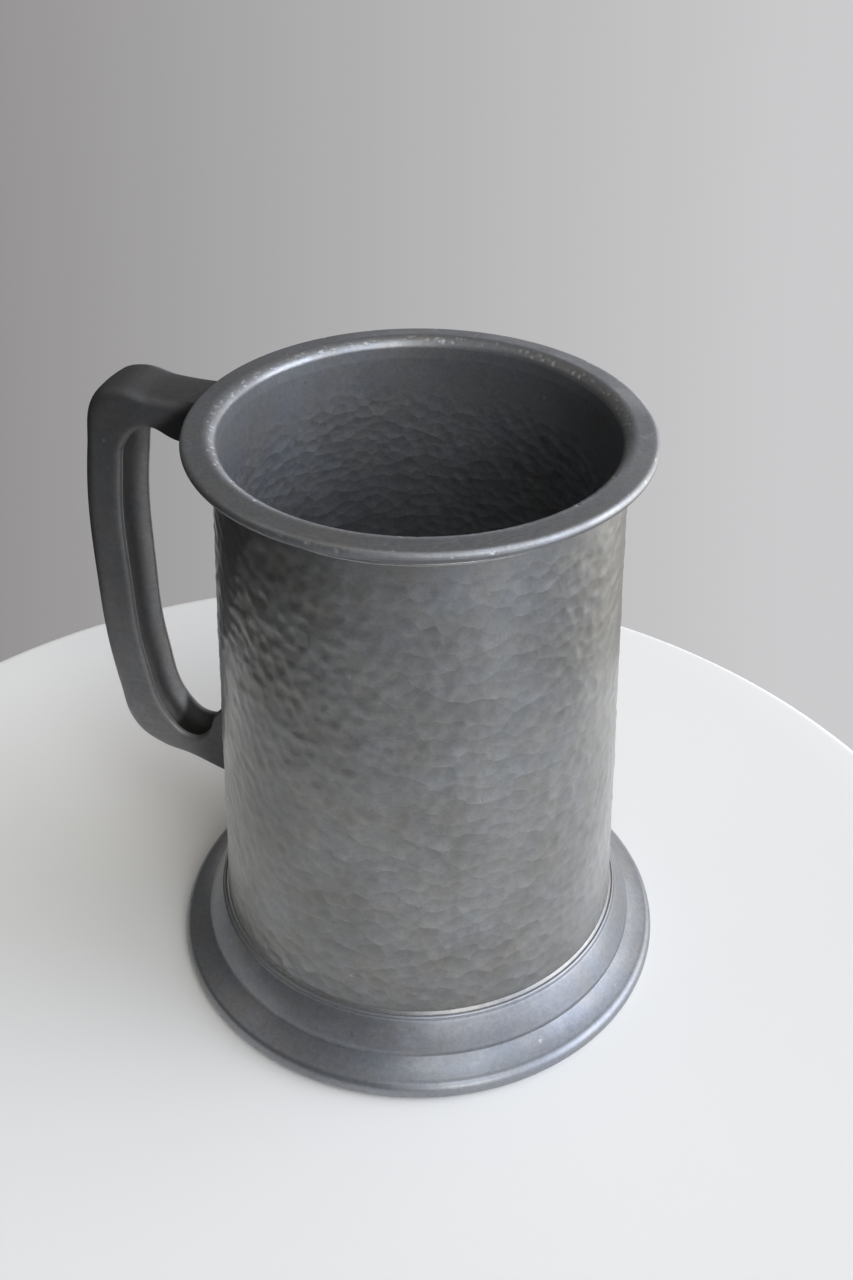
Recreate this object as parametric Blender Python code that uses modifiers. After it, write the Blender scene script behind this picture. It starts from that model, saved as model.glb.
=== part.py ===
"""A hammered pewter mug: tapering barrel, turned lip, moulded foot, floor, cast handle and their solder.

Metres, +Z up. The mug stands on z = 0 and its handle points along -X. The origin lies in the middle of the
whole outline, so the barrel's own axis stands a little to the +X side of it.
"""

import math

import bmesh
import bpy
from mathutils import Matrix

# The mug as a whole.
MUG_HEIGHT = 0.127
SOLDER_GAP = 0.0003

# Barrel: the hammered wall, measured on its outside.
BARREL_TOP_RADIUS = 0.0387
BARREL_FOOT_RADIUS = 0.0432
BARREL_WALL = 0.0014

# Lip: how far it stands out from the barrel and up from the barrel's edge.
LIP_RISE = 0.0038
LIP_OVERHANG = 0.0054
LIP_NOSE_RADIUS = 0.0012
LIP_INNER_RADIUS = 0.0022
LIP_FLARE = 0.0002
LIP_SLOPE = 0.0002
LIP_COLLAR_WALL = 0.0006
LIP_COLLAR_DEPTH = 0.0013
LIP_INNER_ARC = (175, 85)
LIP_NOSE_ARC = (70, -65)

# Foot: two mouldings under a thin collar, and a ledge inside.
FOOT_SPREAD = 0.0103
FOOT_HEIGHT = 0.0149
FOOT_ROLL_RADIUS = 0.0022
FOOT_TREAD_WIDTH = 0.0025
FOOT_COLLAR_WALL = 0.0006
FOOT_BEAD_HEIGHT = 0.0003
FOOT_STEP_SPREAD = 0.0044
FOOT_STEP_HEIGHT = 0.0082
FOOT_GROOVE = 0.0004
FOOT_LEDGE_HEIGHT = 0.0082
FOOT_LEDGE_THICKNESS = 0.0016
FOOT_LEDGE_WIDTH = 0.0032
FOOT_ROLL_ARC = (80, -90)

# Floor.
BASE_THICKNESS = 0.0015

# Handle: the arm, the grip and the tail, in the plane through the mug's axis.
HANDLE_TOP_WIDTH = 0.0138
HANDLE_TAIL_WIDTH = 0.0106
HANDLE_REACH = 0.0335
HANDLE_EDGE_RADIUS = 0.0014
GRIP_THICKNESS = 0.0094
ARM_DROP = 0.0004
ARM_DEPTH = 0.0095
TAIL_HEIGHT = 0.0316
TAIL_DEPTH = 0.0105
TAIL_FLARE = 0.0128
ROOT_DEPTH = 0.004
TROUGH_WALL = 0.0019
TROUGH_DEPTH = 0.0033
TROUGH_END_WALL = 0.0024

# The handle's outline, as pairs of how far a point lies inside the grip and how far it rises.
# The crest rises from the arm's top and the heel from the tail's foot, both in from the grip's outer line.
CREST = ((0.0189, -0.0006), (0.0109, 0.0002), (0.0063, -0.0020), (0.0026, -0.0140))
HEEL = ((0.0017, 0.0200), (0.0046, 0.0089), (0.0104, 0.0049), (0.0189, 0.0032), (0.0249, 0.0014))
# The saddle rises from the tail's top and the arch from the arm's underside, both in from its inner line.
SADDLE = (
    (0.0168, 0.0077),
    (0.0144, 0.0022),
    (0.0104, -0.0004),
    (0.0054, 0.0027),
    (0.0011, 0.0173),
)
# How many of the saddle's points, from the barrel, lie on the flare that climbs the barrel.
FLARE_POINTS = 2
ARCH = ((0.0014, -0.0097), (0.0038, -0.0013), (0.0092, 0.0021), (0.0151, 0.0003))

# Solder runs.
RING_SOLDER_RADIUS = 0.00035
HANDLE_SOLDER_RADIUS = 0.0004

# How finely round shapes are divided, and the distance and angle under which points and faces are one.
TURN_STEPS = 64
LIP_INNER_STEPS = 5
LIP_NOSE_STEPS = 7
FOOT_ROLL_STEPS = 7
HOLLOW_STEPS = 4
OUTLINE_STEPS = 5
EDGE_STEPS = 3
TROUGH_STEPS = 4
TROUGH_ROUND_STEPS = 3
TROUGH_END_SEGMENTS = 16
TROUGH_END_RINGS = 10
SOLDER_SIDES = 6
SOLDER_BEND_STEPS = 4
MERGE_DISTANCE = 0.00001
FLAT_ANGLE = math.radians(0.5)
SHARP_ANGLE = math.radians(50)

# Heights and radii that follow from those sizes.
BARREL_BOTTOM = FOOT_LEDGE_HEIGHT + SOLDER_GAP
BARREL_TOP = MUG_HEIGHT - LIP_RISE - SOLDER_GAP
FOOT_RADIUS = BARREL_FOOT_RADIUS + FOOT_SPREAD
GRIP_RADIUS = BARREL_TOP_RADIUS + HANDLE_REACH
ARM_TOP = MUG_HEIGHT - ARM_DROP
ARM_BOTTOM = ARM_TOP - ARM_DEPTH
TAIL_TOP = TAIL_HEIGHT + TAIL_DEPTH
FLARE_TOP = TAIL_TOP + TAIL_FLARE
AXIS_X = (GRIP_RADIUS - FOOT_RADIUS) / 2


def barrel_radius(height):
    """Outside radius of the barrel at a height. It narrows evenly from its bottom edge to its top edge."""
    share = (height - BARREL_BOTTOM) / (BARREL_TOP - BARREL_BOTTOM)
    return BARREL_FOOT_RADIUS + share * (BARREL_TOP_RADIUS - BARREL_FOOT_RADIUS)


def arc(centre, radius, angles, steps):
    """Points along an arc of a profile, between two angles in degrees, counted from straight out."""
    start, end = angles
    points = []
    for step in range(steps + 1):
        angle = math.radians(start + (end - start) * step / steps)
        points.append((centre[0] + radius * math.cos(angle), centre[1] + radius * math.sin(angle)))
    return points


def hollow_curve(start, end, sag):
    """Points strictly between two profile points, on a line that sags inwards and down."""
    points = []
    for step in range(1, HOLLOW_STEPS):
        share = step / HOLLOW_STEPS
        bow = sag * math.sin(math.pi * share)
        radius = start[0] + (end[0] - start[0]) * share - bow
        height = start[1] + (end[1] - start[1]) * share - bow
        points.append((radius, height))
    return points


def metal(name, colour, roughness):
    """A plain pewter finish."""
    material = bpy.data.materials.new(name)
    material.use_nodes = True
    shader = material.node_tree.nodes["Principled BSDF"]
    shader.inputs["Base Color"].default_value = (*colour, 1.0)
    shader.inputs["Roughness"].default_value = roughness
    shader.inputs["Metallic"].default_value = 1.0
    return material


def add_part(name, data, material, collection, parent):
    """A named object with its material, carried by the empty on the mug's axis."""
    part = bpy.data.objects.new(name, data)
    data.materials.append(material)
    part.parent = parent
    collection.objects.link(part)
    return part


def turned_mesh(name, profile, closed_loop):
    """A profile in the XZ plane, drawn top to bottom down its outer side, ready to be turned."""
    last = len(profile)
    edges = [(index, (index + 1) % last) for index in range(last if closed_loop else last - 1)]
    mesh = bpy.data.meshes.new(name)
    mesh.from_pydata([(radius, 0.0, height) for radius, height in profile], edges, [])
    return mesh


def turn(part):
    """Turns a part's profile right round its own Z axis."""
    screw = part.modifiers.new("turn", "SCREW")
    screw.axis = "Z"
    screw.steps = TURN_STEPS
    screw.render_steps = TURN_STEPS
    screw.use_merge_vertices = True
    screw.merge_threshold = MERGE_DISTANCE
    return part


def barrel_profile():
    """Section of the wall: straight, tapering, square at both ends."""
    return [
        (barrel_radius(BARREL_TOP), BARREL_TOP),
        (barrel_radius(BARREL_BOTTOM), BARREL_BOTTOM),
        (barrel_radius(BARREL_BOTTOM) - BARREL_WALL, BARREL_BOTTOM),
        (barrel_radius(BARREL_TOP) - BARREL_WALL, BARREL_TOP),
    ]


def lip_profile():
    """Section of the lip: rounded inner edge, sloping top, rounded nose, undercut and collar."""
    seat = BARREL_TOP + SOLDER_GAP
    bore = BARREL_TOP_RADIUS - BARREL_WALL
    collar_inside = barrel_radius(seat - LIP_COLLAR_DEPTH) + SOLDER_GAP
    collar_outside = collar_inside + LIP_COLLAR_WALL
    inner_centre = (bore + LIP_FLARE + LIP_INNER_RADIUS, MUG_HEIGHT - LIP_INNER_RADIUS)
    nose_centre = (
        BARREL_TOP_RADIUS + LIP_OVERHANG - LIP_NOSE_RADIUS,
        MUG_HEIGHT - LIP_SLOPE - LIP_NOSE_RADIUS,
    )
    undercut = (collar_outside + LIP_COLLAR_WALL, seat + LIP_COLLAR_WALL)
    return [
        *arc(inner_centre, LIP_INNER_RADIUS, LIP_INNER_ARC, LIP_INNER_STEPS),
        *arc(nose_centre, LIP_NOSE_RADIUS, LIP_NOSE_ARC, LIP_NOSE_STEPS),
        undercut,
        (collar_outside, seat),
        (collar_outside, seat - LIP_COLLAR_DEPTH),
        (collar_inside, seat - LIP_COLLAR_DEPTH),
        (collar_inside, seat),
        (bore, seat),
    ]


def foot_profile():
    """Section of the foot: collar, two mouldings with a groove between, outer roll, flat tread and ledge."""
    collar_inside = barrel_radius(BARREL_BOTTOM) + SOLDER_GAP
    collar_outside = collar_inside + FOOT_COLLAR_WALL
    shelf = FOOT_HEIGHT - FOOT_BEAD_HEIGHT
    upper_start = (collar_outside + FOOT_GROOVE, shelf - FOOT_GROOVE)
    upper_end = (BARREL_FOOT_RADIUS + FOOT_STEP_SPREAD, FOOT_STEP_HEIGHT)
    groove = (upper_end[0], upper_end[1] - FOOT_GROOVE)
    lower_start = (upper_end[0] + FOOT_GROOVE, upper_end[1] - FOOT_GROOVE)
    roll_centre = (FOOT_RADIUS - FOOT_ROLL_RADIUS, FOOT_ROLL_RADIUS)
    roll = arc(roll_centre, FOOT_ROLL_RADIUS, FOOT_ROLL_ARC, FOOT_ROLL_STEPS)
    tread_inside = roll_centre[0] - FOOT_TREAD_WIDTH
    ledge_inside = barrel_radius(BARREL_BOTTOM) - BARREL_WALL - FOOT_LEDGE_WIDTH
    ledge_under = FOOT_LEDGE_HEIGHT - FOOT_LEDGE_THICKNESS
    return [
        (collar_inside, FOOT_HEIGHT),
        (collar_outside, FOOT_HEIGHT),
        (collar_outside, shelf),
        upper_start,
        *hollow_curve(upper_start, upper_end, FOOT_GROOVE),
        upper_end,
        groove,
        lower_start,
        *hollow_curve(lower_start, roll[0], FOOT_GROOVE),
        *roll,
        (tread_inside, 0.0),
        (tread_inside - FOOT_LEDGE_THICKNESS, ledge_under / 2),
        (upper_end[0] - FOOT_LEDGE_THICKNESS, ledge_under),
        (ledge_inside, ledge_under),
        (ledge_inside, FOOT_LEDGE_HEIGHT),
        (collar_inside, FOOT_LEDGE_HEIGHT),
    ]


def base_profile():
    """Half section of the floor disc, out to the inside of the wall."""
    underside = FOOT_LEDGE_HEIGHT + SOLDER_GAP
    rim = barrel_radius(underside + BASE_THICKNESS) - BARREL_WALL - SOLDER_GAP
    return [
        (0.0, underside + BASE_THICKNESS),
        (rim, underside + BASE_THICKNESS),
        (rim, underside),
        (0.0, underside),
    ]


def clearance_profile():
    """Half section of the space that the handle keeps clear of: barrel, lip seam, collar and lip."""
    seat = BARREL_TOP + SOLDER_GAP
    collar = barrel_radius(seat - LIP_COLLAR_DEPTH) + SOLDER_GAP + LIP_COLLAR_WALL
    seam_low = seat - LIP_COLLAR_DEPTH - 2 * SOLDER_GAP - 2 * RING_SOLDER_RADIUS
    seam_out = max(collar, barrel_radius(seam_low) + SOLDER_GAP + 2 * RING_SOLDER_RADIUS) + SOLDER_GAP
    nose = BARREL_TOP_RADIUS + LIP_OVERHANG + SOLDER_GAP
    nose_low = MUG_HEIGHT - LIP_SLOPE - 2 * LIP_NOSE_RADIUS - SOLDER_GAP
    return [
        (0.0, MUG_HEIGHT + LIP_RISE),
        (nose, MUG_HEIGHT + LIP_RISE),
        (nose, nose_low),
        (seam_out, seat - SOLDER_GAP),
        (seam_out, seam_low),
        (barrel_radius(seam_low) + SOLDER_GAP, seam_low),
        (barrel_radius(0.0) + SOLDER_GAP, 0.0),
        (0.0, 0.0),
    ]


def handle_width(height):
    """Width of the handle at a height. It narrows evenly from the arm to the tail."""
    share = (height - TAIL_HEIGHT) / (ARM_TOP - TAIL_HEIGHT)
    return HANDLE_TAIL_WIDTH + share * (HANDLE_TOP_WIDTH - HANDLE_TAIL_WIDTH)


def offset_points(pairs, line, level):
    """Outline points from pairs of how far they lie inside a line and how far they rise from a level."""
    return [(line - inset, level + rise) for inset, rise in pairs]


def outer_handle_points():
    """Outer side of the handle, from the lip over the thumb rise and down the grip to the tail."""
    middle = (GRIP_RADIUS, (ARM_TOP + TAIL_HEIGHT) / 2)
    crest = offset_points(CREST, GRIP_RADIUS, ARM_TOP)
    heel = offset_points(HEEL, GRIP_RADIUS, TAIL_HEIGHT)
    return [*crest, middle, *heel]


def inner_handle_points():
    """Inner side of the handle, from the top of the tail up the grip to the underside of the arm."""
    inside = GRIP_RADIUS - GRIP_THICKNESS
    middle = (inside, (ARM_BOTTOM + TAIL_TOP) / 2)
    saddle = offset_points(SADDLE, inside, TAIL_TOP)
    arch = offset_points(ARCH, inside, ARM_BOTTOM)
    return [*saddle, middle, *arch]


def handle_outline():
    """The whole outline of the handle, with its square roots sunk behind the barrel's surface."""
    upper_seat = barrel_radius(ARM_BOTTOM)
    upper_root = BARREL_TOP_RADIUS - ROOT_DEPTH
    lower_seat = barrel_radius(TAIL_HEIGHT)
    lower_root = lower_seat - ROOT_DEPTH
    outer = [(point, "AUTO") for point in outer_handle_points()]
    inner = [(point, "AUTO") for point in inner_handle_points()]
    return [
        ((upper_root, ARM_TOP), "VECTOR"),
        *outer,
        ((lower_seat, TAIL_HEIGHT), "VECTOR"),
        ((lower_root, TAIL_HEIGHT), "VECTOR"),
        ((lower_root, FLARE_TOP), "VECTOR"),
        ((barrel_radius(FLARE_TOP), FLARE_TOP), "VECTOR"),
        *inner,
        ((upper_seat, ARM_BOTTOM), "VECTOR"),
        ((upper_root, ARM_BOTTOM), "VECTOR"),
    ]


def trough_radius(height):
    """Radius of the trough at a height: it leaves a wall of the same thickness on both sides."""
    return handle_width(height) / 2 - TROUGH_WALL


def trough_end():
    """Middle of the round bottom of the trough's end, a pocket in the tail close to the barrel."""
    radius = trough_radius(TAIL_TOP)
    reach = barrel_radius(TAIL_TOP) + TROUGH_END_WALL + radius
    return (reach, TAIL_TOP + radius - TROUGH_DEPTH)


def trough_points():
    """Middle line of the trough: along the handle's inner side at an even depth, and out under the arm."""
    gap_middle = (
        (GRIP_RADIUS - GRIP_THICKNESS + BARREL_TOP_RADIUS) / 2,
        (ARM_BOTTOM + TAIL_TOP) / 2,
    )
    followed = inner_handle_points()[FLARE_POINTS:-1]
    points = [trough_end()]
    for radius, height in followed:
        lift = trough_radius(height) - TROUGH_DEPTH
        if (radius, height) == followed[-1]:
            lift = trough_radius(height)
        inwards = gap_middle[0] - radius
        upwards = gap_middle[1] - height
        share = lift / math.hypot(inwards, upwards)
        points.append((radius + inwards * share, height + upwards * share))
    return points


def bezier(spline, points, handle_types):
    """Sets a Bezier spline's points in the handle's plane: radius along -X, height along the curve's Y."""
    spline.bezier_points.add(len(points) - 1)
    for knot, (radius, height), kind in zip(spline.bezier_points, points, handle_types):
        knot.co = (-radius, height, 0.0)
        knot.handle_left_type = kind
        knot.handle_right_type = kind


def mesh_of_curve(curve):
    """The solid that a curve describes, as a closed mesh standing upright in the XZ plane."""
    drawing = bpy.data.objects.new(curve.name, curve)
    bpy.context.scene.collection.objects.link(drawing)
    bpy.context.view_layer.update()
    graph = bpy.context.evaluated_depsgraph_get()
    mesh = bpy.data.meshes.new_from_object(drawing.evaluated_get(graph))
    bpy.data.objects.remove(drawing)
    cage = bmesh.new()
    cage.from_mesh(mesh)
    bmesh.ops.remove_doubles(cage, verts=cage.verts, dist=MERGE_DISTANCE)
    bmesh.ops.dissolve_limit(cage, angle_limit=FLAT_ANGLE, verts=cage.verts, edges=cage.edges)
    bmesh.ops.rotate(
        cage,
        verts=cage.verts,
        cent=(0.0, 0.0, 0.0),
        matrix=Matrix.Rotation(math.radians(90), 3, "X"),
    )
    bmesh.ops.recalc_face_normals(cage, faces=cage.faces)
    cage.to_mesh(mesh)
    cage.free()
    return mesh


def handle_mesh():
    """The flat outline of the handle, tapering to its tail's width, before its edges are rounded."""
    curve = bpy.data.curves.new("handle_outline", "CURVE")
    curve.dimensions = "2D"
    curve.fill_mode = "BOTH"
    curve.extrude = HANDLE_TOP_WIDTH / 2
    curve.resolution_u = OUTLINE_STEPS
    spline = curve.splines.new("BEZIER")
    outline = handle_outline()
    bezier(spline, [point for point, kind in outline], [kind for point, kind in outline])
    spline.use_cyclic_u = True
    mesh = mesh_of_curve(curve)
    for vertex in mesh.vertices:
        vertex.co.y *= handle_width(vertex.co.z) / HANDLE_TOP_WIDTH
    return mesh


def trough_mesh():
    """The tapering bar that is cut out of the handle's inner side."""
    curve = bpy.data.curves.new("trough_line", "CURVE")
    curve.dimensions = "3D"
    curve.bevel_depth = trough_radius(ARM_TOP)
    curve.bevel_resolution = TROUGH_ROUND_STEPS
    curve.use_fill_caps = True
    curve.resolution_u = TROUGH_STEPS
    spline = curve.splines.new("BEZIER")
    points = trough_points()
    bezier(spline, points, ["AUTO"] * len(points))
    for knot, (radius, height) in zip(spline.bezier_points, points):
        knot.radius = trough_radius(height) / curve.bevel_depth
    return mesh_of_curve(curve)


def trough_end_mesh():
    """The ball that rounds off the bottom of the trough's pocket."""
    radius, height = trough_end()
    mesh = bpy.data.meshes.new("trough_end")
    cage = bmesh.new()
    bmesh.ops.create_uvsphere(
        cage,
        u_segments=TROUGH_END_SEGMENTS,
        v_segments=TROUGH_END_RINGS,
        radius=trough_radius(height),
        matrix=Matrix.Translation((-radius, 0.0, height)),
    )
    cage.to_mesh(mesh)
    cage.free()
    return mesh


def trough_pocket_mesh():
    """The upright bar that opens the trough's end upwards, between the walls of the flare."""
    radius, height = trough_end()
    mesh = bpy.data.meshes.new("trough_pocket")
    cage = bmesh.new()
    bmesh.ops.create_cone(
        cage,
        cap_ends=True,
        segments=TROUGH_END_SEGMENTS,
        radius1=trough_radius(height),
        radius2=trough_radius(height),
        depth=FLARE_TOP - height,
        matrix=Matrix.Translation((-radius, 0.0, (FLARE_TOP + height) / 2)),
    )
    cage.to_mesh(mesh)
    cage.free()
    return mesh


def add_cutter(name, mesh, collection, parent):
    """A shape that only cuts: it stays out of the render."""
    cutter = bpy.data.objects.new(name, mesh)
    cutter.parent = parent
    cutter.hide_render = True
    cutter.display_type = "WIRE"
    collection.objects.link(cutter)
    return cutter


def cut(part, cutter):
    """Takes a cutter's shape out of a part."""
    boolean = part.modifiers.new("cut_" + cutter.name, "BOOLEAN")
    boolean.operation = "DIFFERENCE"
    boolean.object = cutter


def ring_of_solder(major_radius, height):
    """A thin ring of solder at a height on the mug's axis."""
    bpy.ops.mesh.primitive_torus_add(
        major_radius=major_radius,
        minor_radius=RING_SOLDER_RADIUS,
        major_segments=TURN_STEPS,
        minor_segments=SOLDER_SIDES,
        location=(0.0, 0.0, 0.0),
    )
    drawn = bpy.context.object
    cage = bmesh.new()
    cage.from_mesh(drawn.data)
    bmesh.ops.translate(cage, verts=cage.verts, vec=(0.0, 0.0, height))
    mesh = bpy.data.meshes.new("solder_ring")
    cage.to_mesh(mesh)
    cage.free()
    bpy.data.objects.remove(drawn)
    return mesh


def outer_ring_of_solder(height):
    """A ring of solder laid against the outside of the barrel."""
    return ring_of_solder(barrel_radius(height) + SOLDER_GAP + RING_SOLDER_RADIUS, height)


def solder_run(name, outline, closed_loop):
    """A bead of solder laid on the barrel along an outline of (sideways, height) points."""
    curve = bpy.data.curves.new(name, "CURVE")
    curve.dimensions = "3D"
    curve.bevel_depth = HANDLE_SOLDER_RADIUS
    curve.bevel_resolution = 1
    curve.use_fill_caps = True
    spline = curve.splines.new("POLY")
    spline.points.add(len(outline) - 1)
    for point, (sideways, height) in zip(spline.points, outline):
        stand_off = barrel_radius(height) + SOLDER_GAP + HANDLE_SOLDER_RADIUS
        point.co = (-math.sqrt(stand_off**2 - sideways**2), sideways, height, 1.0)
    spline.use_cyclic_u = closed_loop
    return curve


def upper_solder_outline():
    """A run up one side of the arm, below the lip's seam, under it and up the other side."""
    stand_off = SOLDER_GAP + HANDLE_SOLDER_RADIUS
    side = handle_width(ARM_TOP) / 2 + stand_off
    low = ARM_BOTTOM - stand_off
    seam_low = BARREL_TOP - LIP_COLLAR_DEPTH - SOLDER_GAP - 2 * RING_SOLDER_RADIUS
    high = seam_low - SOLDER_GAP - 2 * HANDLE_SOLDER_RADIUS
    bend = HANDLE_EDGE_RADIUS + stand_off
    right = arc((side - bend, low + bend), bend, (0, -90), SOLDER_BEND_STEPS)
    left = arc((bend - side, low + bend), bend, (-90, -180), SOLDER_BEND_STEPS)
    return [(side, high), *right, (0.0, low), *left, (-side, high)]


def lower_solder_outline():
    """A closed run round the tail and the flare above it."""
    stand_off = SOLDER_GAP + HANDLE_SOLDER_RADIUS
    side = handle_width(FLARE_TOP) / 2 + stand_off
    low = TAIL_HEIGHT - stand_off
    high = FLARE_TOP + stand_off
    bend = HANDLE_EDGE_RADIUS + stand_off
    return [
        *arc((side - bend, low + bend), bend, (0, -90), SOLDER_BEND_STEPS),
        (0.0, low),
        *arc((bend - side, low + bend), bend, (-90, -180), SOLDER_BEND_STEPS),
        *arc((bend - side, high - bend), bend, (180, 90), SOLDER_BEND_STEPS),
        (0.0, high),
        *arc((side - bend, high - bend), bend, (90, 0), SOLDER_BEND_STEPS),
    ]


for old in list(bpy.data.objects):
    bpy.data.objects.remove(old)

mug = bpy.data.collections.new("pewter_mug")
cutters = bpy.data.collections.new("mug_cutters")
bpy.context.scene.collection.children.link(mug)
bpy.context.scene.collection.children.link(cutters)

axis = bpy.data.objects.new("mug_axis", None)
axis.location = (AXIS_X, 0.0, 0.0)
mug.objects.link(axis)

hammered = metal("hammered_pewter", colour=(0.36, 0.36, 0.35), roughness=0.42)
turned_finish = metal("turned_pewter", colour=(0.40, 0.41, 0.43), roughness=0.32)
cast_finish = metal("cast_pewter", colour=(0.31, 0.31, 0.32), roughness=0.45)
solder = metal("solder", colour=(0.50, 0.50, 0.50), roughness=0.35)

turn(add_part("barrel", turned_mesh("barrel", barrel_profile(), True), hammered, mug, axis))
turn(add_part("lip_ring", turned_mesh("lip_ring", lip_profile(), True), turned_finish, mug, axis))
turn(add_part("foot_ring", turned_mesh("foot_ring", foot_profile(), True), turned_finish, mug, axis))
turn(add_part("base_plate", turned_mesh("base_plate", base_profile(), False), hammered, mug, axis))

clearance_mesh = turned_mesh("mug_clearance", clearance_profile(), False)
clearance = turn(add_cutter("mug_clearance", clearance_mesh, cutters, axis))
trough = add_cutter("handle_trough", trough_mesh(), cutters, axis)
trough_ball = add_cutter("handle_trough_end", trough_end_mesh(), cutters, axis)
trough_pocket = add_cutter("handle_trough_pocket", trough_pocket_mesh(), cutters, axis)

handle = add_part("handle", handle_mesh(), cast_finish, mug, axis)
rounding = handle.modifiers.new("rounded_edges", "BEVEL")
rounding.width = HANDLE_EDGE_RADIUS
rounding.segments = EDGE_STEPS
rounding.limit_method = "ANGLE"
rounding.angle_limit = SHARP_ANGLE
cut(handle, trough)
cut(handle, trough_ball)
cut(handle, trough_pocket)
cut(handle, clearance)
handle.data.shade_smooth()

lip_seam_height = BARREL_TOP - LIP_COLLAR_DEPTH - RING_SOLDER_RADIUS
add_part("lip_seam", outer_ring_of_solder(lip_seam_height), solder, mug, axis)
foot_seam_height = FOOT_HEIGHT + SOLDER_GAP + RING_SOLDER_RADIUS
add_part("foot_seam", outer_ring_of_solder(foot_seam_height), solder, mug, axis)
floor_top = FOOT_LEDGE_HEIGHT + SOLDER_GAP + BASE_THICKNESS
base_seam_height = floor_top + SOLDER_GAP + RING_SOLDER_RADIUS
base_seam_radius = barrel_radius(base_seam_height) - BARREL_WALL - SOLDER_GAP - RING_SOLDER_RADIUS
add_part("base_seam", ring_of_solder(base_seam_radius, base_seam_height), solder, mug, axis)

upper_run = solder_run("handle_upper_solder", upper_solder_outline(), False)
add_part("handle_upper_solder", upper_run, solder, mug, axis)
lower_run = solder_run("handle_lower_solder", lower_solder_outline(), True)
add_part("handle_lower_solder", lower_run, solder, mug, axis)
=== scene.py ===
import math

import bmesh
import bpy
from mathutils import Matrix, Vector


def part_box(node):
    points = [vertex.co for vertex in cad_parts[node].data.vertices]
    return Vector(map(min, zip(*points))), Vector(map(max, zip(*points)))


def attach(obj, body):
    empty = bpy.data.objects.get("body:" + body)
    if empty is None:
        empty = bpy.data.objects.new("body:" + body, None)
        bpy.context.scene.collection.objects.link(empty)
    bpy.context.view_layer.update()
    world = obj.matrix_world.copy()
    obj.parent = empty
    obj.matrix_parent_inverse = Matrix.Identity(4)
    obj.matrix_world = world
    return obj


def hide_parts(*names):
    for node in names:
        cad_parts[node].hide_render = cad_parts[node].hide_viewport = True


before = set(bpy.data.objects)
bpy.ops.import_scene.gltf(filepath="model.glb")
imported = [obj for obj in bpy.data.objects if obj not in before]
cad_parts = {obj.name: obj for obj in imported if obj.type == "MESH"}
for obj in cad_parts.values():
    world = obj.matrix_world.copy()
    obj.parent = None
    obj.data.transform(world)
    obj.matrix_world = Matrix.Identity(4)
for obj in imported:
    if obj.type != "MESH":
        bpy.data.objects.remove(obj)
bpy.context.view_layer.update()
scene = bpy.context.scene

# Barrel. A sheet of pewter rolled into a tapering tube and hammered all over on a stake.
# The blows run round it in rows and die away into plain bands under the lip and above the foot.
# Its two ends are soldered into the lip and the foot.
barrel_low, barrel_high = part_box("barrel")
axis_x = (barrel_low.x + barrel_high.x) / 2
barrel_foot_radius = (barrel_high.x - barrel_low.x) / 2
barrel_top_radius = 0.0387
barrel_wall = 0.0014
barrel_tube = {
    "Columns": 412,
    "Outer Bands": 132,
    "Inner Bands": 106,
    "Rows": 45,
    "Blows Per Row": 82,
    "Blow Radius": 0.0022,
    "Blow Depth": 0.0002,
    "Blow Tilt": 0.04,
    "Inside Share": 0.9,
    "Scatter": 0.36,
    "Plain Top": 0.0045,
    "Plain Bottom": 0.0055,
    "Unevenness": 0.0005,
    "Grip Patch": (-0.021, -0.035, 0.076),
    "Pouring Patch": (0.039, -0.006, 0.104),
    "Patch Size": 0.03,
    "Patch Depth": 7.5,
    "Seed": 7,
}


def barrel_radius(height):
    """Outside radius of the barrel at a height."""
    share = (height - barrel_low.z) / (barrel_high.z - barrel_low.z)
    return barrel_foot_radius + share * (barrel_top_radius - barrel_foot_radius)


def new_tree(name, kind, inputs, outputs):
    """A node tree with its group sockets: inputs as (name, type, value) and outputs as (name, type)."""
    tree = bpy.data.node_groups.new(name, kind)
    for label, socket_type, value in inputs:
        socket = tree.interface.new_socket(label, in_out="INPUT", socket_type="NodeSocket" + socket_type)
        if value is not None:
            socket.default_value = value
    for label, socket_type in outputs:
        tree.interface.new_socket(label, in_out="OUTPUT", socket_type="NodeSocket" + socket_type)
    given = tree.nodes.new("NodeGroupInput").outputs
    made = tree.nodes.new("NodeGroupOutput").inputs
    return tree, given, made


def feed(tree, socket, source):
    """Gives an input socket a link or a plain value."""
    if isinstance(source, bpy.types.NodeSocket):
        tree.links.new(source, socket)
    elif source is not None:
        socket.default_value = source


def node(tree, kind, *sources, **settings):
    """Adds a node, feeds its working inputs in order, and gives its first working output."""
    made = tree.nodes.new(kind)
    for name, value in settings.items():
        setattr(made, name, value)
    working = [socket for socket in made.inputs if socket.enabled]
    for socket, source in zip(working, sources):
        feed(tree, socket, source)
    return next(socket for socket in made.outputs if socket.enabled)


def maths(tree, operation, *values):
    """The result of one sum."""
    return node(tree, "ShaderNodeMath", *values, operation=operation)


def plus(tree, first, second):
    """Two values added together."""
    return maths(tree, "ADD", first, second)


def minus(tree, first, second):
    """One value less another."""
    return maths(tree, "SUBTRACT", first, second)


def times(tree, product, *others):
    """Two or more values multiplied together."""
    for other in others:
        product = maths(tree, "MULTIPLY", product, other)
    return product


def over(tree, first, second):
    """One value divided by another."""
    return maths(tree, "DIVIDE", first, second)


def vectors(tree, operation, *values):
    """The result of one sum with vectors."""
    return node(tree, "ShaderNodeVectorMath", *values, operation=operation)


def parts_of(tree, vector):
    """The three parts of a vector or a colour."""
    return node(tree, "ShaderNodeSeparateXYZ", vector).node.outputs


def eased(tree, value, low, high):
    """Rises smoothly from 0 to 1 as a value goes from low to high."""
    return node(tree, "ShaderNodeMapRange", value, low, high, interpolation_type="SMOOTHSTEP")


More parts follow.
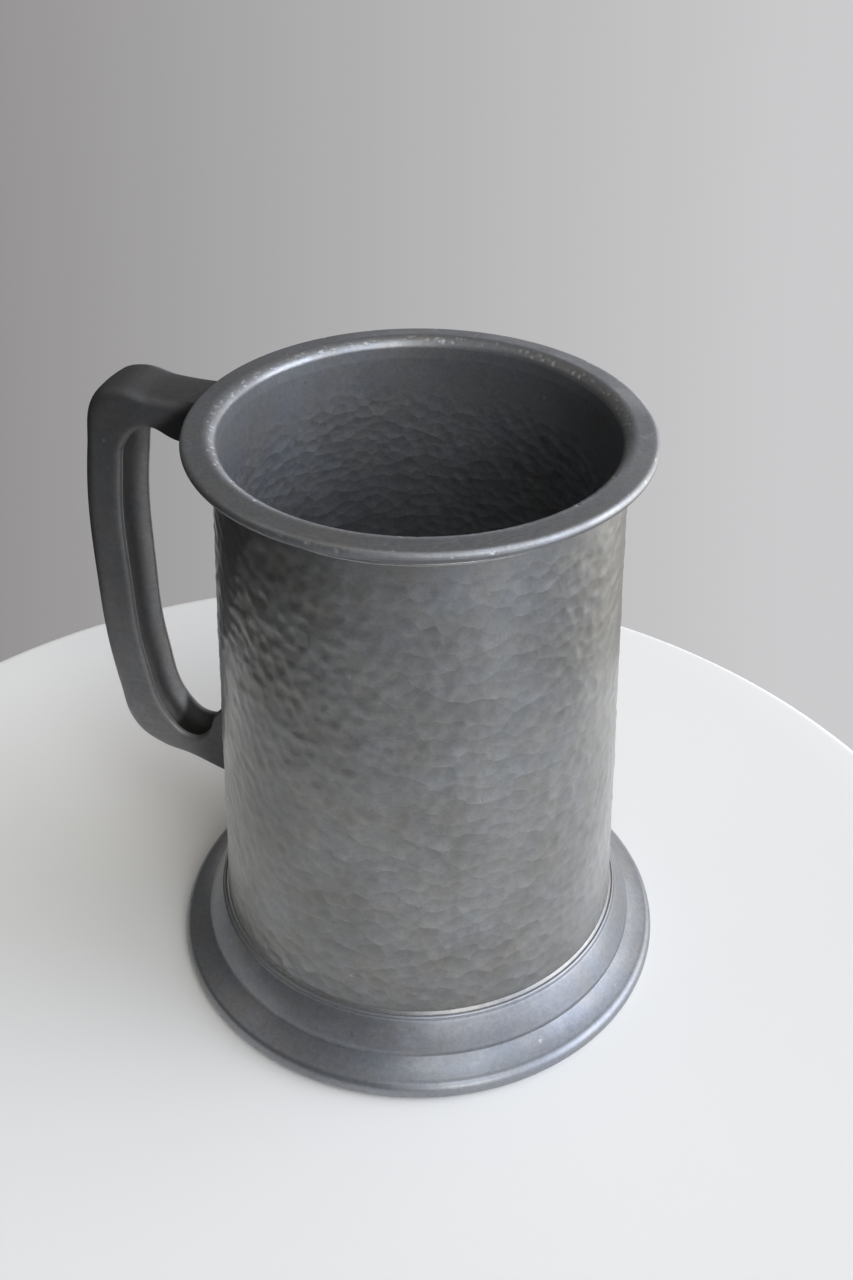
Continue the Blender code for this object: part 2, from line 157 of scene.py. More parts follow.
def between(tree, start, end, share):
    """The value a share of the way from start to end."""
    return node(tree, "ShaderNodeMapRange", share, 0.0, 1.0, start, end, clamp=False)


def noise(tree, place, scale, *shape):
    """Cloudy noise, with so many clouds to the metre. Its shape is a detail and a roughness."""
    return node(tree, "ShaderNodeTexNoise", place, scale, *shape)


def random_number(tree, low, high, identity, seed):
    """A seeded random number for each point."""
    return node(tree, "FunctionNodeRandomValue", low, high, identity, seed, data_type="FLOAT")


def on_circle(tree, angle, radius, height):
    """A point at an angle, a radius and a height."""
    across = times(tree, maths(tree, "COSINE", angle), radius)
    along = times(tree, maths(tree, "SINE", angle), radius)
    return node(tree, "ShaderNodeCombineXYZ", across, along, height)


def stored(tree, geometry, name, value):
    """Geometry that carries a value under a name."""
    return node(tree, "GeometryNodeStoreNamedAttribute", geometry, None, name, value)


def hammered_tube_tree():
    """Geometry Nodes for a tapering walled tube covered with rows of shallow hammer dishes."""
    tree, given, made = new_tree(
        "hammered_tube",
        "GeometryNodeTree",
        [
            ("Bottom", "Float", 0.0),
            ("Top", "Float", 0.1),
            ("Bottom Radius", "Float", 0.04),
            ("Top Radius", "Float", 0.04),
            ("Wall", "Float", 0.001),
            ("Axis", "Vector", (0.0, 0.0, 0.0)),
            ("Columns", "Int", 64),
            ("Outer Bands", "Int", 32),
            ("Inner Bands", "Int", 16),
            ("Rows", "Int", 30),
            ("Blows Per Row", "Int", 60),
            ("Blow Radius", "Float", 0.003),
            ("Blow Depth", "Float", 0.0001),
            ("Blow Tilt", "Float", 0.02),
            ("Inside Share", "Float", 1.0),
            ("Scatter", "Float", 0.3),
            ("Plain Top", "Float", 0.01),
            ("Plain Bottom", "Float", 0.01),
            ("Unevenness", "Float", 0.0001),
            ("Grip Patch", "Vector", (0.0, 0.0, 0.0)),
            ("Pouring Patch", "Vector", (0.0, 0.0, 0.0)),
            ("Patch Size", "Float", 0.01),
            ("Patch Depth", "Float", 0.0),
            ("Seed", "Int", 0),
            ("Material", "Material", None),
            ("Inside Material", "Material", None),
        ],
        [("Geometry", "Geometry")],
    )
    # One long sleeve runs up the outside, over the top edge, down the inside and back to where it began.
    edge_band = plus(tree, given["Outer Bands"], 1.0)
    bands = plus(tree, plus(tree, edge_band, given["Inner Bands"]), 1.0)
    cylinder = node(tree, "GeometryNodeMeshCylinder", fill_type="NONE").node
    feed(tree, cylinder.inputs["Vertices"], given["Columns"])
    feed(tree, cylinder.inputs["Side Segments"], bands)
    feed(tree, cylinder.inputs["Radius"], 1.0)
    feed(tree, cylinder.inputs["Depth"], 1.0)
    place = node(tree, "GeometryNodeInputPosition")
    part = parts_of(tree, place)
    band = times(tree, plus(tree, part[2], 0.5), bands)
    past_top = maths(tree, "GREATER_THAN", band, plus(tree, given["Outer Bands"], 0.5))
    before_end = maths(tree, "LESS_THAN", band, minus(tree, bands, 0.5))
    inner = times(tree, past_top, before_end)
    going_up = over(tree, band, given["Outer Bands"])
    # Inside, the bands crowd together near the top, where the hammering shows.
    crowding = 1.5
    going_down = over(tree, minus(tree, band, edge_band), given["Inner Bands"])
    going_down = maths(tree, "POWER", maths(tree, "MAXIMUM", going_down, 0.0), crowding)
    going_down = maths(tree, "MAXIMUM", minus(tree, 1.0, going_down), 0.0)
    share = between(tree, going_up, going_down, past_top)
    radius = between(tree, given["Bottom Radius"], given["Top Radius"], share)
    radius = minus(tree, radius, times(tree, inner, given["Wall"]))
    height = between(tree, given["Bottom"], given["Top"], share)
    across = times(tree, part[0], radius)
    along = times(tree, part[1], radius)
    wall_point = node(tree, "ShaderNodeCombineXYZ", across, along, height)
    sided = stored(tree, cylinder.outputs["Mesh"], "inside", inner)
    open_wall = node(tree, "GeometryNodeSetPosition", sided, None, wall_point)
    closing_gap = 0.000001
    wall = node(tree, "GeometryNodeMergeByDistance", open_wall, None, closing_gap)
    inside = node(tree, "GeometryNodeInputNamedAttribute", "inside", data_type="FLOAT")
    outwards = vectors(tree, "NORMALIZE", vectors(tree, "MULTIPLY", place, (1.0, 1.0, 0.0)))
    through = times(tree, inside, given["Wall"])
    struck = vectors(tree, "ADD", place, vectors(tree, "SCALE", outwards, through))

    # The blows fall in rows, each half a step round from the last, with some scatter.
    blow = node(tree, "GeometryNodeInputIndex")
    row = maths(tree, "FLOOR", over(tree, blow, given["Blows Per Row"]))
    column = maths(tree, "MODULO", blow, given["Blows Per Row"])
    stagger = times(tree, maths(tree, "MODULO", row, 2.0), 0.5)
    back = times(tree, given["Scatter"], -1.0)
    sideways = random_number(tree, back, given["Scatter"], blow, given["Seed"])
    upwards = random_number(tree, back, given["Scatter"], blow, plus(tree, given["Seed"], 1.0))
    turn = plus(tree, plus(tree, column, stagger), sideways)
    angle = times(tree, over(tree, turn, given["Blows Per Row"]), math.tau)
    climb = plus(tree, plus(tree, row, 0.5), upwards)
    rise = over(tree, climb, given["Rows"])
    blow_out = between(tree, given["Bottom Radius"], given["Top Radius"], rise)
    blow_height = between(tree, given["Bottom"], given["Top"], rise)
    count = times(tree, given["Rows"], given["Blows Per Row"])
    blows = node(tree, "GeometryNodePoints", count, on_circle(tree, angle, blow_out, blow_height))

    # Each point of the wall lies in the dish of its nearest blow, which has its own depth and tilt.
    nearest = node(tree, "GeometryNodeSampleNearest", blows, struck)
    centre = node(tree, "GeometryNodeSampleIndex", blows, place, nearest, data_type="FLOAT_VECTOR")
    apart = vectors(tree, "SUBTRACT", struck, centre)
    far = over(tree, vectors(tree, "LENGTH", apart), given["Blow Radius"])
    dish = maths(tree, "MAXIMUM", minus(tree, 1.0, times(tree, far, far)), 0.0)
    lightest_blow = 0.35
    strength = random_number(tree, lightest_blow, 1.0, nearest, plus(tree, given["Seed"], 2.0))
    lean_sideways = random_number(tree, -1.0, 1.0, nearest, plus(tree, given["Seed"], 3.0))
    lean_upwards = random_number(tree, -1.0, 1.0, nearest, plus(tree, given["Seed"], 4.0))
    around = vectors(tree, "NORMALIZE", vectors(tree, "CROSS_PRODUCT", (0.0, 0.0, 1.0), place))
    off_sideways = times(tree, vectors(tree, "DOT_PRODUCT", apart, around), lean_sideways)
    off_upwards = times(tree, parts_of(tree, apart)[2], lean_upwards)
    lean = times(tree, plus(tree, off_sideways, off_upwards), given["Blow Tilt"])
    sink = times(tree, dish, strength, given["Blow Depth"])

    # The hammering dies away towards both ends along a wavering line, further from the top inside.
    level = parts_of(tree, place)[2]
    waver = plus(tree, noise(tree, struck, 60.0, 2.0), 0.5)
    top_band = times(tree, given["Plain Top"], waver, between(tree, 1.0, 2.0, inside))
    bottom_band = times(tree, given["Plain Bottom"], waver)
    below_top = minus(tree, given["Top"], level)
    above_bottom = minus(tree, level, given["Bottom"])
    worked = times(
        tree,
        eased(tree, below_top, times(tree, top_band, 0.4), times(tree, top_band, 1.6)),
        eased(tree, above_bottom, bottom_band, times(tree, bottom_band, 1.8)),
    )
    swell = times(tree, minus(tree, noise(tree, struck, 45.0, 1.0), 0.5), given["Unevenness"])
    relief = plus(tree, minus(tree, lean, sink), swell)
    relief = times(tree, relief, worked, between(tree, 1.0, given["Inside Share"], inside))
    push = vectors(tree, "SCALE", outwards, relief)

    # Each dish has its own tone, and two places outside have gone darker with handling.
    stain_and_painted_light = random_number(tree, -1.0, 1.0, nearest, plus(tree, given["Seed"], 5.0))
    stain_and_painted_light = times(tree, stain_and_painted_light, worked)
    outside = minus(tree, 1.0, inside)
    for patch in ("Grip Patch", "Pouring Patch"):
        off = vectors(tree, "LENGTH", vectors(tree, "SUBTRACT", place, given[patch]))
        near = minus(tree, 1.0, eased(tree, off, 0.0, given["Patch Size"]))
        stain_and_painted_light = minus(tree, stain_and_painted_light, times(tree, near, outside, given["Patch Depth"]))
    ridge = times(tree, minus(tree, 1.0, dish), worked)
    # On the barrel this mark holds only stain, while the handle paints light and shade into it.
    for name, value in (("bright", ridge), ("stain_and_painted_light", stain_and_painted_light), ("worked", worked)):
        wall = stored(tree, wall, name, value)
    beaten = node(tree, "GeometryNodeSetPosition", wall, None, None, push)
    moved = node(tree, "GeometryNodeSetPosition", beaten, None, None, given["Axis"])
    smooth = node(tree, "GeometryNodeSetShadeSmooth", moved)
    whole = node(tree, "GeometryNodeRealizeInstances", smooth)
    dressed = node(tree, "GeometryNodeSetMaterial", whole, None, given["Material"])
    lined = maths(tree, "GREATER_THAN", inside, 0.4)
    dressed = node(tree, "GeometryNodeSetMaterial", dressed, lined, given["Inside Material"])
    feed(tree, made["Geometry"], dressed)
    return tree


def grown_mesh(name, tree, values, start=None):
    """The plain mesh that a Geometry Nodes tree makes, from nothing or from a starting mesh."""
    bearer = bpy.data.objects.new(name, start or bpy.data.meshes.new(name))
    scene.collection.objects.link(bearer)
    modifier = bearer.modifiers.new(name, "NODES")
    modifier.node_group = tree
    for item in tree.interface.items_tree:
        if item.in_out == "INPUT" and item.name in values:
            modifier[item.identifier] = values[item.name]
    graph = bpy.context.evaluated_depsgraph_get()
    mesh = bpy.data.meshes.new_from_object(bearer.evaluated_get(graph))
    bearer.modifiers.remove(modifier)
    bpy.data.objects.remove(bearer)
    mesh.name = name
    return mesh


def unrolled(tree, place):
    """Shader coordinates laid flat: distance round the mug, height, and distance out from its axis."""
    off_axis = parts_of(tree, vectors(tree, "SUBTRACT", place, (axis_x, 0.0, 0.0)))
    # The join of the flat sheet lies behind the handle.
    angle = maths(tree, "ARCTAN2", off_axis[1], off_axis[0])
    squares = [maths(tree, "POWER", side, 2.0) for side in off_axis[:2]]
    out = maths(tree, "SQRT", plus(tree, *squares))
    return node(tree, "ShaderNodeCombineXYZ", times(tree, angle, barrel_foot_radius), off_axis[2], out)


def mixed(tree, share, first, second):
    """The colour a share of the way from one to another."""
    return node(tree, "ShaderNodeMix", share, first, second, data_type="RGBA")


def pewter_tone_group():
    """Shader group: the cloudy tone of old pewter, from clean to tarnished, and its uneven polish."""
    tree, given, made = new_tree(
        "pewter_tone",
        "ShaderNodeTree",
        [
            ("Place", "Vector", (0.0, 0.0, 0.0)),
            ("Clean", "Color", (0.4, 0.4, 0.4, 1.0)),
            ("Tarnished", "Color", (0.3, 0.3, 0.3, 1.0)),
            ("Polish", "Float", 0.35),
            ("Polish Spread", "Float", 0.1),
        ],
        [("Colour", "Color"), ("Roughness", "Float")],
    )
    place = given["Place"]
    warm_film = (1.03, 1.0, 0.955, 1.0)
    cool_film = (0.975, 1.0, 1.045, 1.0)
    clouds = eased(tree, noise(tree, place, 38.0, 4.0, 0.55), 0.36, 0.66)
    mottle = noise(tree, place, 260.0, 3.0, 0.6)
    freckle = noise(tree, place, 850.0, 3.0, 0.7)
    grain = noise(tree, place, 2200.0, 2.0, 0.6)
    blotch = plus(tree, times(tree, clouds, 0.6), times(tree, mottle, 0.4))
    tint = mixed(tree, blotch, given["Clean"], given["Tarnished"])
    speckle = plus(tree, times(tree, grain, 0.4), times(tree, freckle, 0.5))
    speckle = plus(tree, speckle, 0.55)
    film = eased(tree, noise(tree, place, 110.0, 4.0, 0.65), 0.3, 0.7)
    warmth = mixed(tree, film, warm_film, cool_film)
    feed(tree, made["Colour"], vectors(tree, "SCALE", vectors(tree, "MULTIPLY", tint, warmth), speckle))
    uneven = minus(tree, plus(tree, blotch, times(tree, grain, 0.5)), 0.75)
    rough = plus(tree, given["Polish"], times(tree, uneven, given["Polish Spread"]))
    feed(tree, made["Roughness"], rough)
    return tree


def fine_scratches_group():
    """Shader group: a mask of short hairline scratches lying in several directions."""
    tree, given, made = new_tree(
        "fine_scratches",
        "ShaderNodeTree",
        [("Place", "Vector", (0.0, 0.0, 0.0)), ("Share", "Float", 0.5)],
        [("Mask", "Float")],
    )
    flat = unrolled(tree, given["Place"])
    hairline = (90.0, 2600.0, 90.0)
    hairline_width = 0.012
    total = None
    for turn, offset in ((0.35, 0.1), (-0.6, 0.3), (1.35, 0.5)):
        shift = (offset, offset, 0.0)
        laid = node(tree, "ShaderNodeMapping", flat, shift, (0.0, 0.0, turn), hairline)
        streak = noise(tree, laid, 1.0, 1.0)
        line = eased(tree, maths(tree, "ABSOLUTE", minus(tree, streak, 0.5)), hairline_width, 0.0)
        total = line if total is None else maths(tree, "MAXIMUM", total, line)
    patches = noise(tree, given["Place"], 170.0, 2.0)
    here = eased(tree, patches, minus(tree, 0.8, given["Share"]), 0.9)
    feed(tree, made["Mask"], times(tree, total, here))
    return tree


def turning_lines_group():
    """Shader group: the fine rings that a lathe tool leaves, as a height from 0 to 1."""
    tree, given, made = new_tree(
        "turning_lines",
        "ShaderNodeTree",
        [("Place", "Vector", (0.0, 0.0, 0.0))],
        [("Height", "Float")],
    )
    flat = unrolled(tree, given["Place"])
    laid = node(tree, "ShaderNodeMapping", flat, None, None, (14.0, 2600.0, 2600.0))
    feed(tree, made["Height"], noise(tree, laid, 1.0, 2.0, 0.6))
    return tree


def specks_group():
    """Shader group: masks of small bare knocks and of small dark pits, scattered at random."""
    tree, given, made = new_tree(
        "specks",
        "ShaderNodeTree",
        [("Place", "Vector", (0.0, 0.0, 0.0)), ("Spacing", "Float", 0.006), ("Size", "Float", 0.07)],
        [("Bare", "Float"), ("Pits", "Float")],
    )
    ragged = 0.0016
    wander = noise(tree, given["Place"], 900.0, 2.0).node.outputs["Color"]
    wander = vectors(tree, "SCALE", vectors(tree, "SUBTRACT", wander, (0.5, 0.5, 0.5)), ragged)
    place = vectors(tree, "ADD", given["Place"], wander)
    frequency = over(tree, 1.0, given["Spacing"])
    for label, shift, least_chance in (("Bare", 0.0, 0.72), ("Pits", 0.37, 0.6)):
        moved = vectors(tree, "ADD", place, (shift, shift, shift))
        cells = node(tree, "ShaderNodeTexVoronoi", moved, frequency).node.outputs
        chance = parts_of(tree, cells["Color"])
        size = times(tree, given["Size"], plus(tree, chance[1], 0.4))
        spot = eased(tree, cells["Distance"], size, times(tree, size, 0.5))
        left_in = maths(tree, "GREATER_THAN", chance[0], least_chance)
        feed(tree, made[label], times(tree, spot, left_in))
    return tree


pewter_tone = pewter_tone_group()
fine_scratches = fine_scratches_group()
turning_lines = turning_lines_group()
specks = specks_group()


def grouped(tree, group, **values):
    """Places a shader group in a material with its own values, and gives its outputs."""
    placed = tree.nodes.new("ShaderNodeGroup")
    placed.node_tree = group
    for name, value in values.items():
        feed(tree, placed.inputs[name.replace("_", " ")], value)
    return placed.outputs


def mark_on(tree, name):
    """A mark that the piece's mesh carries under a name."""
    return node(tree, "ShaderNodeAttribute", attribute_name=name).node.outputs["Fac"]


def toned(tree, colour, mark, change):
    """A colour made lighter or darker in step with a mark."""
    return vectors(tree, "SCALE", colour, plus(tree, 1.0, times(tree, mark, change)))


def pewter(
    name,
    clean,
    tarnished,
    polish,
    polish_spread,
    scratched,
    spotted,
    worn,
    grit,
    turned=0.0,
    metallic=0.7,
    beaten=0.0,
    facet=0.0035,
    film=0.0,
):
    """A pewter finish. Worn is how far the ridges, edges and nicks marked on a piece shine through.

    Beaten adds small crisp facets of a given size, each with painted shading. Film is a thin clear skin of
    oxide and wax.
    Marks on the piece for stain and painted light make it paler or darker, and a mark for painted shade
    darkens it.
    """
    film_polish = 0.3
    bare_gain = 1.9
    scratch_shine = 0.35
    pit_shade = -0.45
    facet_stretch = (1.0, 1.0, 1.25)
    facet_spread = 0.14
    facet_painted_shading = 62.0
    stain_and_light_gain = 0.05
    painted_shade_darkening = -0.9
    line_polish = 0.2
    shine_polish = 0.18
    painted_shade_polish = 0.2
    scratch_depth = 0.5
    spot_depth = 1.2
    bump_strength = 0.5
    bump_height = 0.00005
    material = bpy.data.materials.new(name)
    material.use_nodes = True
    tree = material.node_tree
    shader = tree.nodes["Principled BSDF"]
    shader.inputs["Metallic"].default_value = metallic
    shader.inputs["Coat Weight"].default_value = film
    shader.inputs["Coat Roughness"].default_value = film_polish
    place = node(tree, "ShaderNodeTexCoord").node.outputs["Object"]
    tone = grouped(
        tree,
        pewter_tone,
        Place=place,
        Clean=(*clean, 1.0),
        Tarnished=(*tarnished, 1.0),
        Polish=polish,
        Polish_Spread=polish_spread,
    )
    scratches = grouped(tree, fine_scratches, Place=place, Share=scratched)["Mask"]
    lines = grouped(tree, turning_lines, Place=place)["Height"]
    spots = grouped(tree, specks, Place=place)
    bare = times(tree, spots["Bare"], spotted)
    pits = times(tree, spots["Pits"], spotted)
    painted_shade = mark_on(tree, "painted_shade")

    # Bare metal shows on edges, in knocks and along scratches. Pits change its tone, stains and painted
    # light make it paler or darker, and painted shade darkens it.
    shine = maths(tree, "MAXIMUM", times(tree, mark_on(tree, "bright"), worn), bare)
    shine = maths(tree, "MAXIMUM", shine, times(tree, scratches, scratch_shine))
    bare_metal = tuple(min(1.0, bare_gain * part) for part in clean)
    colour = mixed(tree, shine, tone["Colour"], (*bare_metal, 1.0))
    colour = toned(tree, colour, pits, pit_shade)
    if beaten:
        # Each facet has a tone of its own and painted shading: it is painted palest at its lower edge and
        # darkest at its upper edge.
        worked = mark_on(tree, "worked")
        stretched = vectors(tree, "MULTIPLY", place, facet_stretch)
        facets = node(tree, "ShaderNodeTexVoronoi", stretched, 1.0 / facet).node.outputs
        chance = parts_of(tree, facets["Color"])[0]
        lift = parts_of(tree, vectors(tree, "SUBTRACT", stretched, facets["Position"]))[2]
        shade = times(tree, minus(tree, chance, 0.5), facet_spread)
        shade = minus(tree, shade, times(tree, lift, facet_painted_shading))
        colour = toned(tree, colour, shade, worked)
    colour = toned(tree, colour, mark_on(tree, "stain_and_painted_light"), stain_and_light_gain)
    colour = toned(tree, colour, painted_shade, painted_shade_darkening)
    feed(tree, shader.inputs["Base Color"], colour)

    rough = plus(tree, tone["Roughness"], times(tree, minus(tree, lines, 0.5), line_polish * turned))
    rough = minus(tree, rough, times(tree, shine, shine_polish))
    rough = plus(tree, rough, times(tree, painted_shade, painted_shade_polish))
    feed(tree, shader.inputs["Roughness"], rough)

    raised = times(tree, noise(tree, place, 1500.0, 3.0, 0.65), grit)
    raised = plus(tree, raised, times(tree, lines, turned))
    raised = minus(tree, raised, times(tree, scratches, scratch_depth))
    raised = minus(tree, raised, times(tree, plus(tree, bare, pits), spot_depth))
    if beaten:
        raised = plus(tree, raised, times(tree, facets["Distance"], beaten, worked))
    bump = node(tree, "ShaderNodeBump").node
    bump.inputs["Strength"].default_value = bump_strength
    bump.inputs["Distance"].default_value = bump_height
    feed(tree, bump.inputs["Height"], raised)
    feed(tree, shader.inputs["Normal"], bump.outputs["Normal"])
    return material


def new_piece(name, mesh, cad_node):
    """An object for a finished mesh that stands for a CAD node and rides on the mug."""
    piece = bpy.data.objects.new(name, mesh)
    scene.collection.objects.link(piece)
    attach(piece, "root")
    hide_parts(cad_node)


hammered_pewter = pewter(
    "hammered_pewter",
    clean=(0.198, 0.201, 0.200),
    tarnished=(0.146, 0.143, 0.133),
    polish=0.37,
    polish_spread=0.2,
    scratched=0.3,
    spotted=0.8,
    worn=0.12,
    grit=1.2,
    beaten=5.0,
    film=0.9,
)
dull_inside = pewter(
    "dull_inside",
    clean=(0.185, 0.192, 0.203),
    tarnished=(0.135, 0.137, 0.14),
    polish=0.5,
    polish_spread=0.15,
    scratched=0.2,
    spotted=0.6,
    worn=0.05,
    grit=1.2,
    metallic=0.3,
    beaten=7.0,
    facet=0.0027,
)
barrel_mesh = grown_mesh(
    "barrel_wall",
    hammered_tube_tree(),
    {
        **barrel_tube,
        "Bottom": barrel_low.z,
        "Top": barrel_high.z,
        "Bottom Radius": barrel_foot_radius,
        "Top Radius": barrel_top_radius,
        "Wall": barrel_wall,
        "Axis": (axis_x, 0.0, 0.0),
        "Material": hammered_pewter,
        "Inside Material": dull_inside,
    },
)
barrel_crease = math.radians(50)
barrel_mesh.set_sharp_from_angle(angle=barrel_crease)
new_piece("hammered_barrel", barrel_mesh, "barrel")

# Base plate. A spun disc of pewter dropped inside the barrel onto the foot's ledge.
# Faint rings from spinning show on both faces, and it is slightly dished.
base_low, base_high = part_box("base_plate")
base_radius = barrel_radius(base_high.z) - barrel_wall + 0.0003
base_dish = 0.0003
base_steps = 180
turned_crease = math.radians(40)


def rounded_line(corners, spacing, closed_loop):
    """A profile through (radius, height, rounding) corners, with its straights divided evenly."""
    most_rounding = 0.48
    bend_steps = 8
    bends = []
    last = len(corners) - 1
    for index, (radius, height, rounding) in enumerate(corners):
        corner = Vector((radius, height))
        if not rounding or (not closed_loop and index in (0, last)):
            bends.append(corner)
            continue
        before = Vector(corners[index - 1][:2]) - corner
        after = Vector(corners[(index + 1) % len(corners)][:2]) - corner
        start = corner + before.normalized() * min(rounding, before.length * most_rounding)
        end = corner + after.normalized() * min(rounding, after.length * most_rounding)
        for step in range(bend_steps + 1):
            share = step / bend_steps
            bends.append(start * (1 - share) ** 2 + corner * 2 * share * (1 - share) + end * share**2)
    line = []
    for index, point in enumerate(bends):
        line.append(point)
        if index == len(bends) - 1 and not closed_loop:
            break
        ahead = bends[(index + 1) % len(bends)]
        pieces = int((ahead - point).length / spacing) + 1
        line.extend(point.lerp(ahead, step / pieces) for step in range(1, pieces))
    return line


def join_rings(cage, rings, closed_loop):
    """Smooth faces between each ring of points and the next. A ring may be one point, told many times."""
    following = rings[1:] + rings[:1] if closed_loop else rings[1:]
    for first, second in zip(rings, following):
        for step in range(len(first)):
            ahead = (step + 1) % len(first)
            corners = (first[step], first[ahead], second[ahead], second[step])
            cage.faces.new(tuple(dict.fromkeys(corners))).smooth = True


def finished_mesh(cage, name, material, crease=None):
    """The mesh of a cage with its faces turned outwards, and its edges sharp past a crease's angle."""
    bmesh.ops.recalc_face_normals(cage, faces=cage.faces)
    if crease is not None:
        for edge in cage.edges:
            edge.smooth = edge.calc_face_angle(0.0) < crease
    mesh = bpy.data.meshes.new(name)
    cage.to_mesh(mesh)
    cage.free()
    mesh.materials.append(material)
    return mesh


def turned_mesh(name, line, steps, material, closed_loop, bright=None, painted_shade=None):
    """A profile turned round the mug's axis. Bright says how worn its points are, and the painted shade how
    dark they are painted.
    """
    cage = bmesh.new()
    mark = cage.verts.layers.float.new("bright")
    shade_layer = cage.verts.layers.float.new("painted_shade")
    rings = []
    for index, (radius, height) in enumerate(line):
        ring = []
        for step in range(steps):
            angle = math.tau * step / steps
            if radius == 0.0 and step:
                ring.append(ring[0])
                continue
            point = cage.verts.new((axis_x + radius * math.cos(angle), radius * math.sin(angle), height))
            point[mark] = bright[index] if bright else 0.0
            point[shade_layer] = painted_shade[index] if painted_shade else 0.0
            ring.append(point)
        rings.append(ring)
    join_rings(cage, rings, closed_loop)
    return finished_mesh(cage, name, material, turned_crease)


base_line = rounded_line(
    [
        (0.0, base_high.z - base_dish, 0.0),
        (base_radius * 0.5, base_high.z - base_dish * 0.7, 0.01),
        (base_radius * 0.85, base_high.z, 0.003),
        (base_radius, base_high.z, 0.0),
        (base_radius, base_low.z, 0.0),
        (base_radius * 0.85, base_low.z, 0.003),
        (base_radius * 0.5, base_low.z - base_dish * 0.7, 0.01),
        (0.0, base_low.z - base_dish, 0.0),
    ],
    spacing=0.0012,
    closed_loop=False,
)
spun_pewter = pewter(
    "spun_pewter",
    clean=(0.26, 0.265, 0.275),
    tarnished=(0.19, 0.195, 0.20),
    polish=0.5,
    polish_spread=0.2,
    scratched=0.45,
    spotted=1.0,
    worn=0.2,
    grit=0.8,
    turned=0.6,
)
base_mesh = turned_mesh("base_disc", base_line, base_steps, spun_pewter, closed_loop=False)
new_piece("spun_base", base_mesh, "base_plate")

# Base seam. A cove of tin solder run round the inside corner, where the base plate meets the barrel.
# It is wiped while soft, so its face is smooth and a little uneven.
base_seam_reach = 0.0009
solder_steps = 240
solder_swing = 0.12
solder_waves = ((5, 0.4), (13, 2.1), (31, 1.3))
hidden_lap = 0.0002


def solder_finish(name, tone):
    """A solder finish: brighter and smoother than the pewter beside it."""
    return pewter(
        name,
        clean=(tone, tone, tone),
        tarnished=(0.7 * tone, 0.7 * tone, 0.68 * tone),
        polish=0.32,
        polish_spread=0.15,
        scratched=0.1,
        spotted=0.5,
        worn=0.0,
        grit=0.8,
    )


def uneven_ring(name, line, material):
    """A turned run of solder whose thickness wanders round the mug."""
    mesh = turned_mesh(name, line, solder_steps, material, closed_loop=True)
    middle = sum((Vector(point) for point in line), Vector((0.0, 0.0))) / len(line)
    for vertex in mesh.vertices:
        out = Vector((vertex.co.x - axis_x, vertex.co.y, 0.0))
        angle = math.atan2(out.y, out.x)
        wander = sum(math.sin(waves * angle + start) for waves, start in solder_waves)
        growth = 1 + solder_swing * wander / len(solder_waves)
        flat = Vector((out.length, vertex.co.z))
        flat = middle + (flat - middle) * growth
        out = out.normalized() * flat.x
        vertex.co = (axis_x + out.x, out.y, flat.y)
    return mesh


wiped_solder = solder_finish("wiped_solder", 0.34)
inner_corner = barrel_radius(base_high.z) - barrel_wall + hidden_lap
base_seam_line = rounded_line(
    [
        (inner_corner, base_high.z - hidden_lap, 0.0),
        (inner_corner, base_high.z + base_seam_reach, 0.0),
        (inner_corner - base_seam_reach * 0.35, base_high.z + base_seam_reach * 0.3, 0.0006),
        (inner_corner - base_seam_reach, base_high.z - hidden_lap, 0.0),
    ],
    spacing=0.0003,
    closed_loop=True,
)
base_seam_mesh = uneven_ring("base_cove", base_seam_line, wiped_solder)
new_piece("base_solder", base_seam_mesh, "base_seam")

# Foot. A heavy cast ring of pewter, turned on a lathe, that the barrel stands in and is soldered to.
# A fine bead and groove run round its collar. Below them come a slope, a small step, a broad flange
# that is hardly hollow, and an outer roll. Underneath it is hollow, with a flat tread.
foot_low, foot_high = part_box("foot_ring")
foot_radius = (foot_high.x - foot_low.x) / 2
foot_roll = 0.0024
foot_step = (0.0476, 0.0082)
foot_collar = 0.0441
foot_shelf = 0.0141
foot_slope_sag = -0.0001
foot_flange_sag = 0.0001
foot_ledge = (0.0386, 0.0066, 0.0082)
foot_steps = 420
moulding_steps = 16


def arc_corners(centre, radius, start, end, steps, squash=1.0):
    """Profile points along an arc between two angles in degrees from straight out. Squash lowers it."""
    points = []
    for step in range(steps + 1):
        angle = math.radians(start + (end - start) * step / steps)
        rise = radius * squash * math.sin(angle)
        points.append((centre[0] + radius * math.cos(angle), centre[1] + rise, 0.0))
    return points


def hollow_corners(start, end, sag):
    """Profile points strictly between two others, on a line that sags inwards and down."""
    points = []
    for step in range(1, moulding_steps):
        share = step / moulding_steps
        bow = sag * math.sin(math.pi * share)
        radius = start[0] + (end[0] - start[0]) * share - bow
        height = start[1] + (end[1] - start[1]) * share - bow
        points.append((radius, height, 0.0))
    return points


